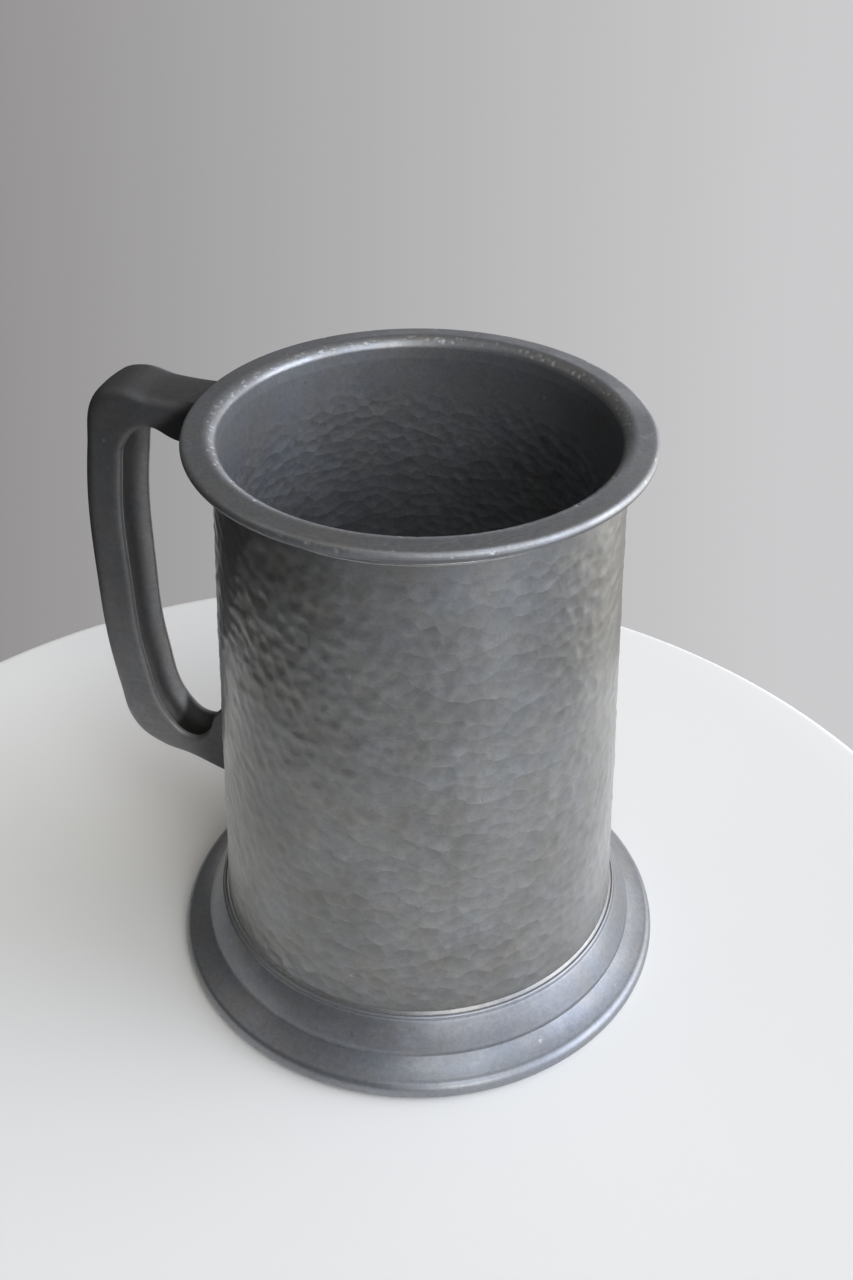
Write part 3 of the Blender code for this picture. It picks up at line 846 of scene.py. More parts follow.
foot_roll_centre = (foot_radius - foot_roll, foot_roll)
foot_roll_line = arc_corners(foot_roll_centre, foot_roll, 72, -90, 24)
foot_shoulder = (foot_step[0] + 0.0002, foot_step[1] - 0.0009)
foot_neck = (foot_collar + 0.0003, foot_shelf)
foot_corners = [
    (barrel_radius(foot_high.z) - hidden_lap, foot_high.z, 0.0),
    (foot_collar - 0.0003, foot_high.z, 0.0002),
    (foot_collar, foot_high.z - 0.0003, 0.0003),
    (foot_collar - 0.00003, foot_shelf + 0.0004, 0.0002),
    (foot_collar - 0.00014, foot_shelf + 0.0002, 0.0002),
    (*foot_neck, 0.0003),
    *hollow_corners(foot_neck, foot_step, foot_slope_sag),
    (*foot_step, 0.0009),
    (foot_step[0] + 0.0001, foot_step[1] - 0.0008, 0.0003),
    (*foot_shoulder, 0.0),
    *hollow_corners(foot_shoulder, foot_roll_line[0], foot_flange_sag),
    *foot_roll_line,
    (foot_roll_centre[0] - 0.0025, 0.0, 0.0006),
    (foot_roll_centre[0] - 0.0041, 0.0033, 0.002),
    (foot_step[0] - 0.0016, foot_ledge[1], 0.0015),
    (foot_ledge[0], foot_ledge[1], 0.0004),
    (foot_ledge[0], foot_ledge[2], 0.0004),
    (barrel_radius(foot_ledge[2]) - hidden_lap, foot_ledge[2], 0.0),
]
foot_line = rounded_line(foot_corners, spacing=0.0005, closed_loop=True)


def edge_brightness(line, span):
    """How sharply a closed profile turns outwards at each point, from 0 to 1. Such edges stay bright."""
    turns = []
    count = len(line)
    for index, point in enumerate(line):
        ends = []
        for step in (-1, 1):
            end = index
            reach = 0.0
            while reach < span:
                reach += (line[(end + step) % count] - line[end % count]).length
                end += step
            ends.append(line[end % count])
        before = (point - ends[0]).normalized()
        after = (ends[1] - point).normalized()
        turns.append(max(0.0, min(1.0, -before.cross(after))))
    return turns


turned_pewter = pewter(
    "turned_pewter",
    clean=(0.262, 0.27, 0.287),
    tarnished=(0.19, 0.197, 0.211),
    polish=0.37,
    polish_spread=0.15,
    scratched=0.35,
    spotted=0.5,
    worn=0.2,
    grit=0.5,
    turned=0.35,
)
foot_mesh = turned_mesh(
    "foot_mouldings",
    foot_line,
    foot_steps,
    turned_pewter,
    closed_loop=True,
    bright=edge_brightness(foot_line, 0.0006),
)
new_piece("turned_foot", foot_mesh, "foot_ring")

# Foot seam. A hairline fillet of tin solder between the top of the foot's collar and the barrel.
# It catches the light as a thin bright ring.
bright_solder = solder_finish("bright_solder", 0.36)
foot_seam_reach = 0.0007
foot_seam_corner = barrel_radius(foot_high.z) - hidden_lap
foot_seam_line = rounded_line(
    [
        (foot_seam_corner, foot_high.z - hidden_lap, 0.0),
        (foot_seam_corner + foot_seam_reach + 0.0001, foot_high.z - hidden_lap, 0.0),
        (foot_seam_corner + foot_seam_reach, foot_high.z + 0.0001, 0.0001),
        (foot_seam_corner + 0.0003, foot_high.z + foot_seam_reach, 0.0002),
        (foot_seam_corner, foot_high.z + foot_seam_reach, 0.0),
    ],
    spacing=0.0003,
    closed_loop=True,
)
foot_seam_mesh = uneven_ring("foot_fillet", foot_seam_line, bright_solder)
new_piece("foot_solder", foot_seam_mesh, "foot_seam")

# Lip. A thick cast ring of pewter, turned and burnished, slipped over the barrel's top on a thin collar.
# Its inner edge is rolled over and its top runs flat to a round nose, both nicked by years of use.
lip_low, lip_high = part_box("lip_ring")
lip_bore = barrel_top_radius - barrel_wall
lip_nose = 0.0012
lip_edge = 0.0026
lip_edge_squash = 0.78
lip_edge_centre = (lip_bore + 0.0001 + lip_edge, lip_high.z - lip_edge * lip_edge_squash)
lip_nose_centre = ((lip_high.x - lip_low.x) / 2 - lip_nose, lip_high.z - lip_nose - 0.0002)
lip_collar = (barrel_radius(lip_low.z) + 0.0009, lip_low.z)
lip_collar_height = 0.0012
lip_steps = 960
# The underside of the lip's nose is darkened with painted shade.
lip_under_painted_shade = 0.4
lip_nicks = {
    "Edge Nicks": 240,
    "Nose Nicks": 60,
    "Nick Size": 0.0008,
    "Nick Depth": 0.0001,
    "Stray": 0.0006,
    "Raggedness": 0.0012,
    "Seed": 21,
}
lip_corners = [
    (lip_bore, barrel_high.z, 0.0),
    *arc_corners(lip_edge_centre, lip_edge, 176, 88, 22, lip_edge_squash),
    *arc_corners(lip_nose_centre, lip_nose, 72, -66, 22),
    (lip_collar[0] + 0.0007, lip_collar[1] + 0.0019, 0.0006),
    (lip_collar[0], lip_collar[1] + lip_collar_height, 0.0003),
    (*lip_collar, 0.0002),
    (barrel_radius(lip_low.z) - hidden_lap, lip_low.z, 0.0),
    (barrel_top_radius - hidden_lap, barrel_high.z, 0.0),
]
lip_line = rounded_line(lip_corners, spacing=0.00045, closed_loop=True)


def nicked_ring_tree():
    """Geometry Nodes that knock small nicks into a ring along its inner edge and its nose."""
    tree, given, made = new_tree(
        "nicked_ring",
        "GeometryNodeTree",
        [
            ("Geometry", "Geometry", None),
            ("Axis", "Vector", (0.0, 0.0, 0.0)),
            ("Edge Radius", "Float", 0.04),
            ("Edge Height", "Float", 0.1),
            ("Edge Nicks", "Int", 60),
            ("Nose Radius", "Float", 0.04),
            ("Nose Height", "Float", 0.1),
            ("Nose Nicks", "Int", 30),
            ("Nick Size", "Float", 0.001),
            ("Nick Depth", "Float", 0.0001),
            ("Stray", "Float", 0.0005),
            ("Raggedness", "Float", 0.001),
            ("Seed", "Int", 0),
            ("Material", "Material", None),
        ],
        [("Geometry", "Geometry")],
    )
    index = node(tree, "GeometryNodeInputIndex")
    back = times(tree, given["Stray"], -1.0)
    rows = []
    for step, line in enumerate(("Edge", "Nose")):
        seed = plus(tree, given["Seed"], 10.0 * step)
        angle = random_number(tree, 0.0, math.tau, index, seed)
        stray = random_number(tree, back, given["Stray"], index, plus(tree, seed, 1.0))
        drop = random_number(tree, back, given["Stray"], index, plus(tree, seed, 2.0))
        radius = plus(tree, given[line + " Radius"], stray)
        height = plus(tree, given[line + " Height"], drop)
        point = vectors(tree, "ADD", on_circle(tree, angle, radius, height), given["Axis"])
        rows.append(node(tree, "GeometryNodePoints", given[line + " Nicks"], point))
    knocks = node(tree, "GeometryNodeJoinGeometry")
    for row in reversed(rows):
        tree.links.new(row, knocks.node.inputs[0])
    place = node(tree, "GeometryNodeInputPosition")
    nearest = node(tree, "GeometryNodeSampleNearest", knocks, place)
    centre = node(tree, "GeometryNodeSampleIndex", knocks, place, nearest, data_type="FLOAT_VECTOR")
    ragged = noise(tree, place, 2600.0, 2.0).node.outputs["Color"]
    ragged = vectors(tree, "SUBTRACT", ragged, (0.5, 0.5, 0.5))
    ragged = vectors(tree, "SCALE", ragged, given["Raggedness"])
    apart = vectors(tree, "ADD", vectors(tree, "SUBTRACT", place, centre), ragged)
    far = vectors(tree, "LENGTH", apart)
    size = random_number(tree, 0.25, 1.0, nearest, plus(tree, given["Seed"], 5.0))
    size = times(tree, size, given["Nick Size"])
    knock = minus(tree, 1.0, eased(tree, far, times(tree, size, 0.2), size))
    depth = times(tree, knock, given["Nick Depth"], -1.0)
    push = vectors(tree, "SCALE", node(tree, "GeometryNodeInputNormal"), depth)
    worn = node(tree, "GeometryNodeInputNamedAttribute", "bright", data_type="FLOAT")
    shine = maths(tree, "MAXIMUM", times(tree, worn, 0.25), knock)
    marked = stored(tree, given["Geometry"], "bright", shine)
    dented = node(tree, "GeometryNodeSetPosition", marked, None, None, push)
    smooth = node(tree, "GeometryNodeSetShadeSmooth", dented)
    whole = node(tree, "GeometryNodeRealizeInstances", smooth)
    feed(tree, made["Geometry"], node(tree, "GeometryNodeSetMaterial", whole, None, given["Material"]))
    return tree


burnished_pewter = pewter(
    "burnished_pewter",
    clean=(0.312, 0.32, 0.33),
    tarnished=(0.193, 0.195, 0.2),
    polish=0.42,
    polish_spread=0.25,
    scratched=0.5,
    spotted=0.8,
    worn=0.65,
    grit=0.9,
    turned=0.4,
)
# Painted shade darkens the points under the nose, outside the collar.
lip_painted_shade = []
for point in lip_line:
    underneath = point.x > lip_collar[0] and point.y < lip_nose_centre[1]
    lip_painted_shade.append(lip_under_painted_shade if underneath else 0.0)
plain_lip_mesh = turned_mesh(
    "lip_turned",
    lip_line,
    lip_steps,
    burnished_pewter,
    closed_loop=True,
    bright=edge_brightness(lip_line, 0.0005),
    painted_shade=lip_painted_shade,
)
lip_mesh = grown_mesh(
    "lip_nicked",
    nicked_ring_tree(),
    {
        **lip_nicks,
        "Axis": (axis_x, 0.0, 0.0),
        "Edge Radius": lip_edge_centre[0] - lip_edge * 0.6,
        "Edge Height": lip_edge_centre[1] + lip_edge * lip_edge_squash * 0.8,
        "Nose Radius": lip_nose_centre[0] + lip_nose * 0.8,
        "Nose Height": lip_nose_centre[1] + lip_nose * 0.6,
        "Material": burnished_pewter,
    },
    start=plain_lip_mesh,
)
# The bore below the rolled edge is as dull as the inside of the barrel.
lip_mesh.materials.append(dull_inside)
for face in lip_mesh.polygons:
    out = math.hypot(face.center.x - axis_x, face.center.y)
    if out < lip_bore + 0.0002 and face.center.z < lip_edge_centre[1]:
        face.material_index = 1
new_piece("burnished_lip", lip_mesh, "lip_ring")

# Lip seam. A fine run of tin solder under the lip's collar, wiped smooth against the barrel.
# It shows as a pale line just below the lip.
lip_seam_low, lip_seam_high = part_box("lip_seam")
lip_seam_reach = 0.00045
lip_seam_height = (lip_seam_low.z + lip_seam_high.z) / 2 + 0.0003
lip_seam_centre = (barrel_radius(lip_seam_height) + lip_seam_reach * 0.35, lip_seam_height)
lip_seam_line = [Vector(point[:2]) for point in arc_corners(lip_seam_centre, lip_seam_reach, 0, 350, 14)]
lip_seam_mesh = uneven_ring("lip_fillet", lip_seam_line, bright_solder)
new_piece("lip_solder", lip_seam_mesh, "lip_seam")

# Handle. One heavy casting of pewter with flat sides, soft edges and a thumb rise, filed to a satin finish.
# Its inner side is scooped into a trough that ends in a deep pocket, where the tail flares up the barrel.
# Its two roots are fitted to the barrel and the lip, and soldered on.
grip_radius = 0.0722
grip_thick = 0.0094
arm_top = 0.1266
arm_bottom = 0.1171
tail_height = 0.0316
tail_top = 0.0421
flare_top = 0.0549
grip_inside = grip_radius - grip_thick
grip_middle = (arm_bottom + tail_top) / 2
handle_widths = (0.0106, 0.0138)
handle_outer_edge = 0.0028
handle_inner_edge = 0.0012
handle_crown = 0.0006
crown_steps = 20
edge_steps = 8
flank_steps = 10
root_sink = 0.0004
trough_wall = 0.0008
trough_depth = 0.0040
trough_soft = 0.0004
trough_rubs = 8
trough_bowl = 2.6
trough_floor = 0.0048
trough_steps = 72
trough_fade = (grip_inside - 0.0100, grip_inside - 0.0030)
scoop_samples = 200
pocket_rise = 0.006
saddle_reach = grip_inside - 0.0104
pocket_mouth = 0.0588
trough_end = barrel_radius(tail_top) + 0.0020 + handle_widths[0] / 2 - trough_wall
# Painted shade: how dark it is painted under the lip, in the pocket and at the tail's root, and where it
# fades.
arm_painted_shade = 0.9
arm_shade_line = ((0.0534, 0.1195), (0.0446, 0.1270))
arm_shade_edge = (-0.0010, 0.0016)
arm_shade_foot = arm_bottom - 0.004
arm_shade_side = 0.002
pocket_painted_shade = 0.75
pocket_shade_edge = (0.0, 0.0012)
pocket_shade_depth = (0.0, 0.0008)
root_painted_shade = 0.5
root_shade_edge = (0.003, 0.011)
# Painted light and shade: how much paler the lower part is, how bright the painted highlights on the two
# rims are, how dark the painted shade in the bed is, and how much darker the thumb rise is.
low_paling = 16.0
far_rim_painted_light = 25.0
near_rim_painted_light = 9.0
bed_shade = 15.0
thumb_shade = 3.0
handle_outer_points = [
    (barrel_top_radius - 0.004, arm_top),
    (grip_radius - 0.0189, arm_top - 0.0006),
    (grip_radius - 0.0109, arm_top + 0.0002),
    (grip_radius - 0.0063, arm_top - 0.0020),
    (grip_radius - 0.0026, arm_top - 0.0140),
    (grip_radius, (arm_top + tail_height) / 2),
    (grip_radius - 0.0017, tail_height + 0.0200),
    (grip_radius - 0.0046, tail_height + 0.0089),
    (grip_radius - 0.0104, tail_height + 0.0049),
    (grip_radius - 0.0189, tail_height + 0.0032),
    (grip_radius - 0.0249, tail_height + 0.0014),
    (barrel_radius(tail_height), tail_height),
]
handle_inner_points = [
    (barrel_radius(arm_bottom), arm_bottom),
    (grip_inside - 0.0151, arm_bottom + 0.0003),
    (grip_inside - 0.0092, arm_bottom + 0.0021),
    (grip_inside - 0.0038, arm_bottom - 0.0013),
    (grip_inside - 0.0014, arm_bottom - 0.0097),
    (grip_inside, grip_middle),
    (grip_inside - 0.0011, tail_top + 0.0173),
    (grip_inside - 0.0054, tail_top + 0.0027),
    (saddle_reach, tail_top - 0.0004),
    (grip_inside - 0.0144, tail_top + 0.0022),
    (grip_inside - 0.0168, tail_top + 0.0077),
    (barrel_radius(flare_top), flare_top),
]
# Points of the two lines that lie across from each other: root, crest, middle, heel, saddle and tail.
handle_across = (
    ((lip_nose_centre[0] + lip_nose, arm_top), (barrel_radius(arm_bottom), arm_bottom)),
    ((grip_radius - 0.0042, arm_top - 0.0060), (grip_inside - 0.0030, arm_bottom - 0.0030)),
    ((grip_radius, 0.0791), (grip_inside, 0.0802)),
    ((grip_radius - 0.0050, tail_height + 0.0085), (grip_inside - 0.0054, tail_top + 0.0027)),
    ((grip_radius - 0.0189, tail_height + 0.0032), (saddle_reach, tail_top - 0.0004)),
    ((barrel_radius(tail_height), tail_height), (barrel_radius(flare_top), flare_top)),
)
handle_stations = (50, 72, 72, 30, 48)


def smooth_line(points):
    """Many points along a smooth curve through a few, straight into its two ends."""
    curve = bpy.data.curves.new("handle_line", "CURVE")
    curve.dimensions = "2D"
    curve.resolution_u = 40
    spline = curve.splines.new("BEZIER")
    spline.bezier_points.add(len(points) - 1)
    for index, (knot, (radius, height)) in enumerate(zip(spline.bezier_points, points)):
        kind = "VECTOR" if index in (0, len(points) - 1) else "AUTO"
        knot.co = (radius, height, 0.0)
        knot.handle_left_type = kind
        knot.handle_right_type = kind
    bearer = bpy.data.objects.new("handle_line", curve)
    scene.collection.objects.link(bearer)
    graph = bpy.context.evaluated_depsgraph_get()
    drawn = bpy.data.meshes.new_from_object(bearer.evaluated_get(graph))
    line = [Vector(vertex.co[:2]) for vertex in drawn.vertices]
    bpy.data.objects.remove(bearer)
    bpy.data.meshes.remove(drawn)
    return line


def nearest_along(line, point):
    """How far along a line the nearest of its points lies, counted in its points."""
    goal = Vector(point)
    return min(range(len(line)), key=lambda index: (line[index] - goal).length)


def spread_along(line, start, end, steps):
    """Evenly spaced points along the part of a line between two of its points, without the last."""
    part = line[start : end + 1]
    reach = [0.0]
    for first, second in zip(part, part[1:]):
        reach.append(reach[-1] + (second - first).length)
    points = []
    index = 0
    for step in range(steps):
        goal = reach[-1] * step / steps
        while reach[index + 1] < goal:
            index += 1
        share = (goal - reach[index]) / max(reach[index + 1] - reach[index], 1e-9)
        points.append(part[index].lerp(part[index + 1], share))
    return points


def eased_number(value, low, high):
    """Rises smoothly from 0 to 1 as a number goes from low to high."""
    share = max(0.0, min(1.0, (value - low) / (high - low)))
    return share * share * (3 - 2 * share)


def handle_half_width(height):
    """Half the handle's width at a height. It narrows evenly from the arm to the tail."""
    share = (height - tail_height) / (arm_top - tail_height)
    return (handle_widths[0] + share * (handle_widths[1] - handle_widths[0])) / 2


def mug_radius(height):
    """Outside radius of the barrel and lip together, that the handle's upper root is fitted to."""
    under = lip_collar[1] + lip_collar_height
    low = lip_nose_centre[1] - lip_nose
    if height <= under:
        return barrel_radius(height)
    if height >= lip_nose_centre[1]:
        return lip_nose_centre[0] + lip_nose
    if height <= low:
        share = (height - under) / (low - under)
        return barrel_radius(under) + share * (lip_nose_centre[0] - barrel_radius(under))
    drop = lip_nose_centre[1] - height
    return lip_nose_centre[0] + math.sqrt(max(lip_nose**2 - drop**2, 0.0))


def trough_at(inner, thick):
    """Half width and depth of the trough, at a point of the handle's inner line where it is so thick."""
    radius = handle_half_width(inner.y) - trough_wall
    depth = trough_depth
    if inner.y > grip_middle:
        depth = trough_depth * eased_number(inner.x, *trough_fade)
    elif inner.x < saddle_reach:
        depth = max(trough_depth, thick - trough_floor)
        past = max(0.0, trough_end - inner.x) / radius
        depth *= math.sqrt(max(1 - past * past, 0.0))
    return radius, depth


def scooped_side(half, radius, depth):
    """Points across the handle's inner side as (sideways, depth), evenly spaced along its scoop."""
    bowl = trough_bowl + min(1.0, max(0.0, depth - trough_depth) / pocket_rise)
    scoop = []
    for step in range(scoop_samples + 1):
        side = half * (1 - 2 * step / scoop_samples)
        raw = depth * (1 - (abs(side) / radius) ** bowl)
        sunk = (raw + math.sqrt(raw * raw + trough_soft * trough_soft)) / 2 if depth > 0.0 else 0.0
        scoop.append(Vector((side, sunk)))
    rim = scoop[0].y
    level = [Vector((point.x, max(point.y - rim, 0.0))) for point in scoop]
    return spread_along(level, 0, len(level) - 1, trough_steps)[1:]


def quarter_round(inset, side, edge, flip):
    """Points round an edge as (distance in from a face, distance from the middle, edge wear)."""
    points = []
    for step in range(edge_steps + 1):
        angle = math.pi / 2 * step / edge_steps
        turn = math.pi / 2 - angle if flip else angle
        wear = math.sin(math.pi * step / edge_steps)
        points.append((inset + edge * (1 - math.sin(turn)), side - edge * (1 - math.cos(turn)), wear))
    return points


def handle_section(outer, inner):
    """One ring of the handle between its two lines: inset, sideways, edge wear and depth in the trough."""
    thick = (inner - outer).length
    half = handle_half_width((outer.y + inner.y) / 2)
    radius, depth = trough_at(inner, thick)
    ring = []
    out_half = half - handle_outer_edge
    for step in range(crown_steps + 1):
        side = -out_half + 2 * out_half * step / crown_steps
        ring.append((handle_crown * (side / half) ** 2, side, 0.0, 0.0))
    crown = handle_crown * (out_half / half) ** 2
    flank = []
    for inset, side, wear in quarter_round(crown, half, handle_outer_edge, True):
        flank.append((inset, side, wear, 0.0))
    for step in range(1, flank_steps):
        inset = crown + handle_outer_edge
        inset += (thick - handle_inner_edge - inset) * step / flank_steps
        flank.append((inset, half, 0.0, 0.0))
    for inset, side, wear in quarter_round(0.0, half, handle_inner_edge, False):
        flank.append((thick - inset, side, wear, 0.0))
    ring.extend(flank[1:])
    rim_start = len(ring) - edge_steps - 1
    for side, sunk in scooped_side(half - handle_inner_edge, radius, depth):
        ring.append((thick - sunk, side, 0.0, sunk))
    rim_end = len(ring) + edge_steps + 1
    far_flank = [(inset, -side, wear, 0.0) for inset, side, wear, _ in reversed(flank)]
    ring.extend(far_flank[:-1])
    # Rubbing softens the trough and its two rims.
    for _ in range(trough_rubs):
        before = list(ring)
        for step in range(rim_start, rim_end):
            inset = (before[step - 1][0] + 2 * before[step][0] + before[step + 1][0]) / 4
            side = (before[step - 1][1] + 2 * before[step][1] + before[step + 1][1]) / 4
            ring[step] = (inset, side, *before[step][2:])
    return ring


def handle_painted_shade(flat, across, sunk):
    """How dark the painted shade is at a point of the handle: under the lip, in the pocket and at its root.
    """
    if flat.y < grip_middle:
        inwards = pocket_mouth - flat.x
        pocket = eased_number(inwards, *pocket_shade_edge) * eased_number(sunk, *pocket_shade_depth)
        return max(pocket_painted_shade * pocket, root_painted_shade * eased_number(inwards, *root_shade_edge))
    beside = abs(across) > handle_half_width(flat.y) - arm_shade_side or sunk > 0.0
    if not beside or flat.y <= arm_shade_foot:
        return 0.0
    start, end = (Vector(point) for point in arm_shade_line)
    slope = (end - start).normalized()
    off = flat - start
    below = off.y * slope.x - off.x * slope.y
    return arm_painted_shade * eased_number(below, *arm_shade_edge)


def handle_painted_light_and_shade(height, across, sunk, from_rim):
    """How much paler or darker the handle is painted: paler low down, painted highlights on its two rims,
    painted shade in the trough's bed and a darker thumb rise.
    """
    share = across / handle_half_width(height)
    low = low_paling * eased_number(arm_bottom - height, 0.03, 0.07)
    rims = far_rim_painted_light * eased_number(share, 0.3, 0.75) + near_rim_painted_light * eased_number(-share, 0.5, 0.85)
    rim = rims * (1.0 - eased_number(from_rim, 0.0, handle_inner_edge))
    bed = bed_shade * eased_number(sunk, 0.0002, 0.001) * (1.0 - eased_number(share, 0.1, 0.5))
    return low + rim - bed - thumb_shade * eased_number(height, 0.1, 0.118)


def handle_mesh_of(material):
    """The handle, lofted along its two lines, with its roots fitted to the barrel and lip."""
    outer_line = smooth_line(handle_outer_points)
    inner_line = smooth_line(handle_inner_points)
    outers = []
    inners = []
    for (first, second), steps in zip(zip(handle_across, handle_across[1:]), handle_stations):
        for line, side, gathered in ((outer_line, 0, outers), (inner_line, 1, inners)):
            start = nearest_along(line, first[side])
            end = nearest_along(line, second[side])
            gathered.extend(spread_along(line, start, end, steps))
    outers.append(Vector(handle_across[-1][0]))
    inners.append(Vector(handle_across[-1][1]))
    cage = bmesh.new()
    mark = cage.verts.layers.float.new("bright")
    shade_layer = cage.verts.layers.float.new("painted_shade")
    light_layer = cage.verts.layers.float.new("stain_and_painted_light")
    rings = []
    last = len(outers) - 1
    for index, (outer, inner) in enumerate(zip(outers, inners)):
        thick = (inner - outer).length
        middle_half = handle_half_width((outer.y + inner.y) / 2)
        inwards = (inner - outer).normalized()
        ring = []
        for inset, side, wear, sunk in handle_section(outer, inner):
            flat = outer + inwards * inset
            across = side * handle_half_width(flat.y) / middle_half
            reach = flat.x
            if index in (0, last):
                root = mug_radius(flat.y) if index == 0 else barrel_radius(flat.y)
                reach = math.sqrt((root - root_sink) ** 2 - across**2)
            point = cage.verts.new((axis_x - reach, across, flat.y))
            point[mark] = wear
            # Painted shade: dark under the lip, in the pocket and at the tail's root.
            point[shade_layer] = handle_painted_shade(flat, across, sunk)
            # Painted light and shade: paler low down and on the rims, darker in the bed and on the thumb
            # rise.
            point[light_layer] = handle_painted_light_and_shade(flat.y, across, sunk, thick - inset - sunk)
            ring.append(point)
        rings.append(ring)
    join_rings(cage, rings, closed_loop=False)
    cage.faces.new(rings[0])
    cage.faces.new(rings[-1])
    return finished_mesh(cage, "handle_casting", material)


cast_pewter = pewter(
    "cast_pewter",
    clean=(0.148, 0.147, 0.149),
    tarnished=(0.107, 0.106, 0.106),
    polish=0.54,
    polish_spread=0.2,
    scratched=0.3,
    spotted=0.6,
    worn=0.12,
    grit=1.0,
)
new_piece("cast_handle", handle_mesh_of(cast_pewter), "handle")

# Handle solder. A bead of tin solder run round each root of the handle, in the corner against the barrel.
# The upper bead stops under the lip, and the lower one goes all the way round the tail.
handle_bead = 0.0006
bead_sides = 10
bead_spacing = 0.0005
bead_waves = ((0.15, 2.3, 0.0), (0.1, 0.7, 1.0))
root_bend = 0.0016


def bead_mesh(name, outline, closed_loop, material):
    """A bead of solder along (sideways, height) points, half sunk in the barrel's surface."""
    cage = bmesh.new()
    rings = []
    count = len(outline)
    for index, (sideways, height) in enumerate(outline):
        surface = barrel_radius(height)
        centre = Vector((axis_x - math.sqrt(surface**2 - sideways**2), sideways, height))
        before = outline[index - 1] if closed_loop or index else outline[index]
        after = outline[(index + 1) % count] if closed_loop or index < count - 1 else outline[index]
        ahead = Vector((0.0, after[0] - before[0], after[1] - before[1])).normalized()
        outwards = Vector((centre.x - axis_x, centre.y, 0.0)).normalized()
        beside = ahead.cross(outwards).normalized()
        swell = 1.0
        for swing, rate, start in bead_waves:
            swell += swing * math.sin(rate * index + start)
        size = handle_bead * swell
        ring = []
        for step in range(bead_sides):
            angle = math.tau * step / bead_sides
            off = outwards * math.cos(angle) + beside * math.sin(angle)
            ring.append(cage.verts.new(centre + off * size))
        rings.append(ring)
    join_rings(cage, rings, closed_loop)
    if not closed_loop:
        cage.faces.new(rings[0]).smooth = True
        cage.faces.new(rings[-1]).smooth = True
    return finished_mesh(cage, name, material)


def root_outline(low, high, half, closed_loop):
    """Points round a root of the handle, from its side down and under to the other side."""
    top_bend = root_bend if closed_loop else 0.0
    corners = [
        (half, high, top_bend),
        (half, low, root_bend),
        (-half, low, root_bend),
        (-half, high, top_bend),
    ]
    return [tuple(point) for point in rounded_line(corners, bead_spacing, closed_loop)]


upper_outline = root_outline(arm_bottom, lip_seam_low.z, handle_half_width(arm_bottom), False)
upper_bead = bead_mesh("upper_bead", upper_outline, False, wiped_solder)
new_piece("upper_handle_solder", upper_bead, "handle_upper_solder")
lower_outline = root_outline(tail_height, flare_top, handle_half_width(tail_height), True)
lower_bead = bead_mesh("lower_bead", lower_outline, True, wiped_solder)
new_piece("lower_handle_solder", lower_bead, "handle_lower_solder")

# Floor. A plain pale round table top that the mug stands on, with a softly rounded rim.
# Its paint is one colour, and only its polish is a little uneven.
photo_turn = math.radians(20.5)
to_photo = Matrix.Translation((axis_x, 0.0, 0.0)) @ Matrix.Rotation(photo_turn, 4, "Z")
table_radius = 0.153
table_thick = 0.018
table_bend = 0.003
table_steps = 180
table_gap = 0.0002
table_colour = (0.965, 0.955, 0.93, 1.0)
table_polish = (0.42, 0.52)
table_centre = to_photo @ Vector((-0.0177, -0.0137, 0.0))
table_corners = [
    (0.0, 0.0, 0.0),
    (table_radius, 0.0, table_bend),
    (table_radius, -table_thick, table_bend),
    (0.0, -table_thick, 0.0),
]
table_paint = bpy.data.materials.new("pale_table")
table_paint.use_nodes = True
table_tree = table_paint.node_tree
table_shader = table_tree.nodes["Principled BSDF"]
table_shader.inputs["Base Color"].default_value = table_colour
table_place = node(table_tree, "ShaderNodeTexCoord").node.outputs["Object"]
table_grain = noise(table_tree, table_place, 90.0, 3.0)
feed(table_tree, table_shader.inputs["Roughness"], between(table_tree, *table_polish, table_grain))
table_line = rounded_line(table_corners, spacing=0.01, closed_loop=False)
table_mesh = turned_mesh("table_top", table_line, table_steps, table_paint, closed_loop=False)
table_mesh.transform(Matrix.Translation(table_centre - Vector((axis_x, 0.0, table_gap))))
table = bpy.data.objects.new("floor", table_mesh)
scene.collection.objects.link(table)

# Light. A soft room without lamps: each source glows round one direction and fades away from it.
# A big window stands high in front and to the right, walls and ceiling give a little, and the left is dim.
# Directions are told as the camera sees them: azimuth 0 is behind the mug and 90 to its right.
room = bpy.data.worlds.new("room")
scene.world = room
room.use_nodes = True
room_tree = room.node_tree
room_glow = 0.003
backdrop_left = (0.30, 0.29, 0.295, 1.0)
backdrop_right = (0.60, 0.60, 0.61, 1.0)
backdrop_span = (-0.27, 0.24)
room_sources = (
    ("window", 151.6, 56.4, 42.7, (4.57, 4.91, 5.24)),
    ("front right", 102.0, 20.0, 10.4, (4.99, 5.31, 6.06)),
    ("right wall", 63.1, -2.5, 7.6, (2.54, 2.48, 2.32)),
    ("front", 159.4, 23.2, 38.9, (6.44, 6.45, 6.44)),
    ("floor in front", 199.7, -36.0, 12.0, (0.45, 0.46, 0.50)),
    ("floor to the right", 143.2, -35.0, 9.3, (1.00, 1.05, 1.14)),
    ("back right wall", 15.1, 3.0, 32.7, (2.23, 2.25, 2.48)),
    ("wall below the table", -7.4, -34.2, 33.3, (1.3, 1.3, 1.28)),
    ("ceiling behind", -23.5, 77.2, 13.9, (0.35, 0.30, 0.18)),
    ("ceiling", 154.0, 74.9, 22.8, (0.64, 0.59, 0.56)),
    ("left wall", 271.3, 47.3, 22.5, (0.53, 0.51, 0.50)),
    ("back left wall", -35.0, 12.0, 10.0, (0.12, 0.115, 0.11)),
)
room_view = node(room_tree, "ShaderNodeTexCoord").node.outputs["Generated"]
room_light = None
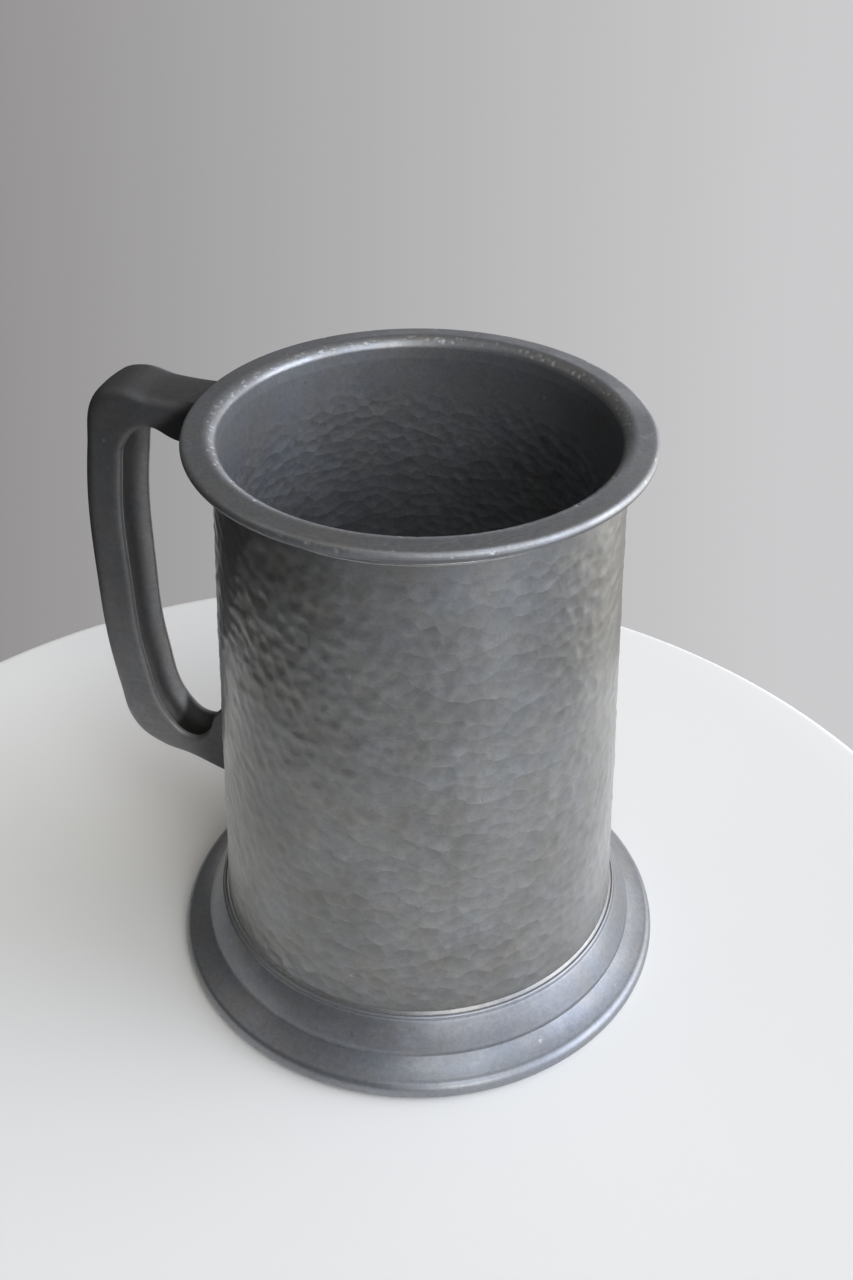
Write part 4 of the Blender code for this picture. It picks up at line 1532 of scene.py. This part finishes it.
for label, azimuth, elevation, tightness, colour in room_sources:
    flat = Vector((math.sin(math.radians(azimuth)), math.cos(math.radians(azimuth)), 0.0))
    aim = flat * math.cos(math.radians(elevation)) + Vector((0.0, 0.0, math.sin(math.radians(elevation))))
    aim = to_photo.to_3x3() @ aim
    facing = vectors(room_tree, "DOT_PRODUCT", room_view, tuple(aim))
    falling = times(room_tree, minus(room_tree, facing, 1.0), tightness)
    share = maths(room_tree, "EXPONENT", falling)
    glow = vectors(room_tree, "SCALE", colour, share)
    glow.node.label = label
    room_light = glow if room_light is None else vectors(room_tree, "ADD", room_light, glow)
room_light = vectors(room_tree, "ADD", room_light, (room_glow, room_glow, room_glow))
# The camera itself sees a plain grey backdrop that grows paler to the right.
seen = node(room_tree, "ShaderNodeLightPath").node.outputs["Is Camera Ray"]
to_right = to_photo.to_3x3() @ Vector((1.0, 0.0, 0.0))
sideways = vectors(room_tree, "DOT_PRODUCT", room_view, tuple(to_right))
across = node(room_tree, "ShaderNodeMapRange", sideways, *backdrop_span)
backdrop = mixed(room_tree, across, backdrop_left, backdrop_right)
shown = mixed(room_tree, seen, room_light, backdrop)
feed(room_tree, room_tree.nodes["Background"].inputs["Color"], shown)
scene.view_settings.view_transform = "Standard"

# Camera. It stands in front of the mug and looks down on it, with the handle to its left.
# Its place, angles and lens were fitted to the rings of the mug in the photograph.
camera_back = 0.2465
camera_height = 0.2555
camera_pitch = 0.62366
camera_pan = 0.0056816
camera_roll = -0.0059213
camera_data = bpy.data.cameras.new("camera")
camera_data.lens = 42.05
camera_data.sensor_width = 36.0
camera = bpy.data.objects.new("camera", camera_data)
scene.collection.objects.link(camera)
right = Vector((math.cos(camera_pan), -math.sin(camera_pan), 0.0))
ahead = Vector((math.sin(camera_pan), math.cos(camera_pan), 0.0))
upright = Vector((0.0, 0.0, 1.0))
forward = ahead * math.cos(camera_pitch) - upright * math.sin(camera_pitch)
above = ahead * math.sin(camera_pitch) + upright * math.cos(camera_pitch)
rolled_right = right * math.cos(camera_roll) - above * math.sin(camera_roll)
rolled_above = right * math.sin(camera_roll) + above * math.cos(camera_roll)
placing = Matrix((rolled_right, rolled_above, -forward)).transposed().to_4x4()
placing.translation = (0.0, -camera_back, camera_height)
camera.matrix_world = to_photo @ placing
scene.camera = camera
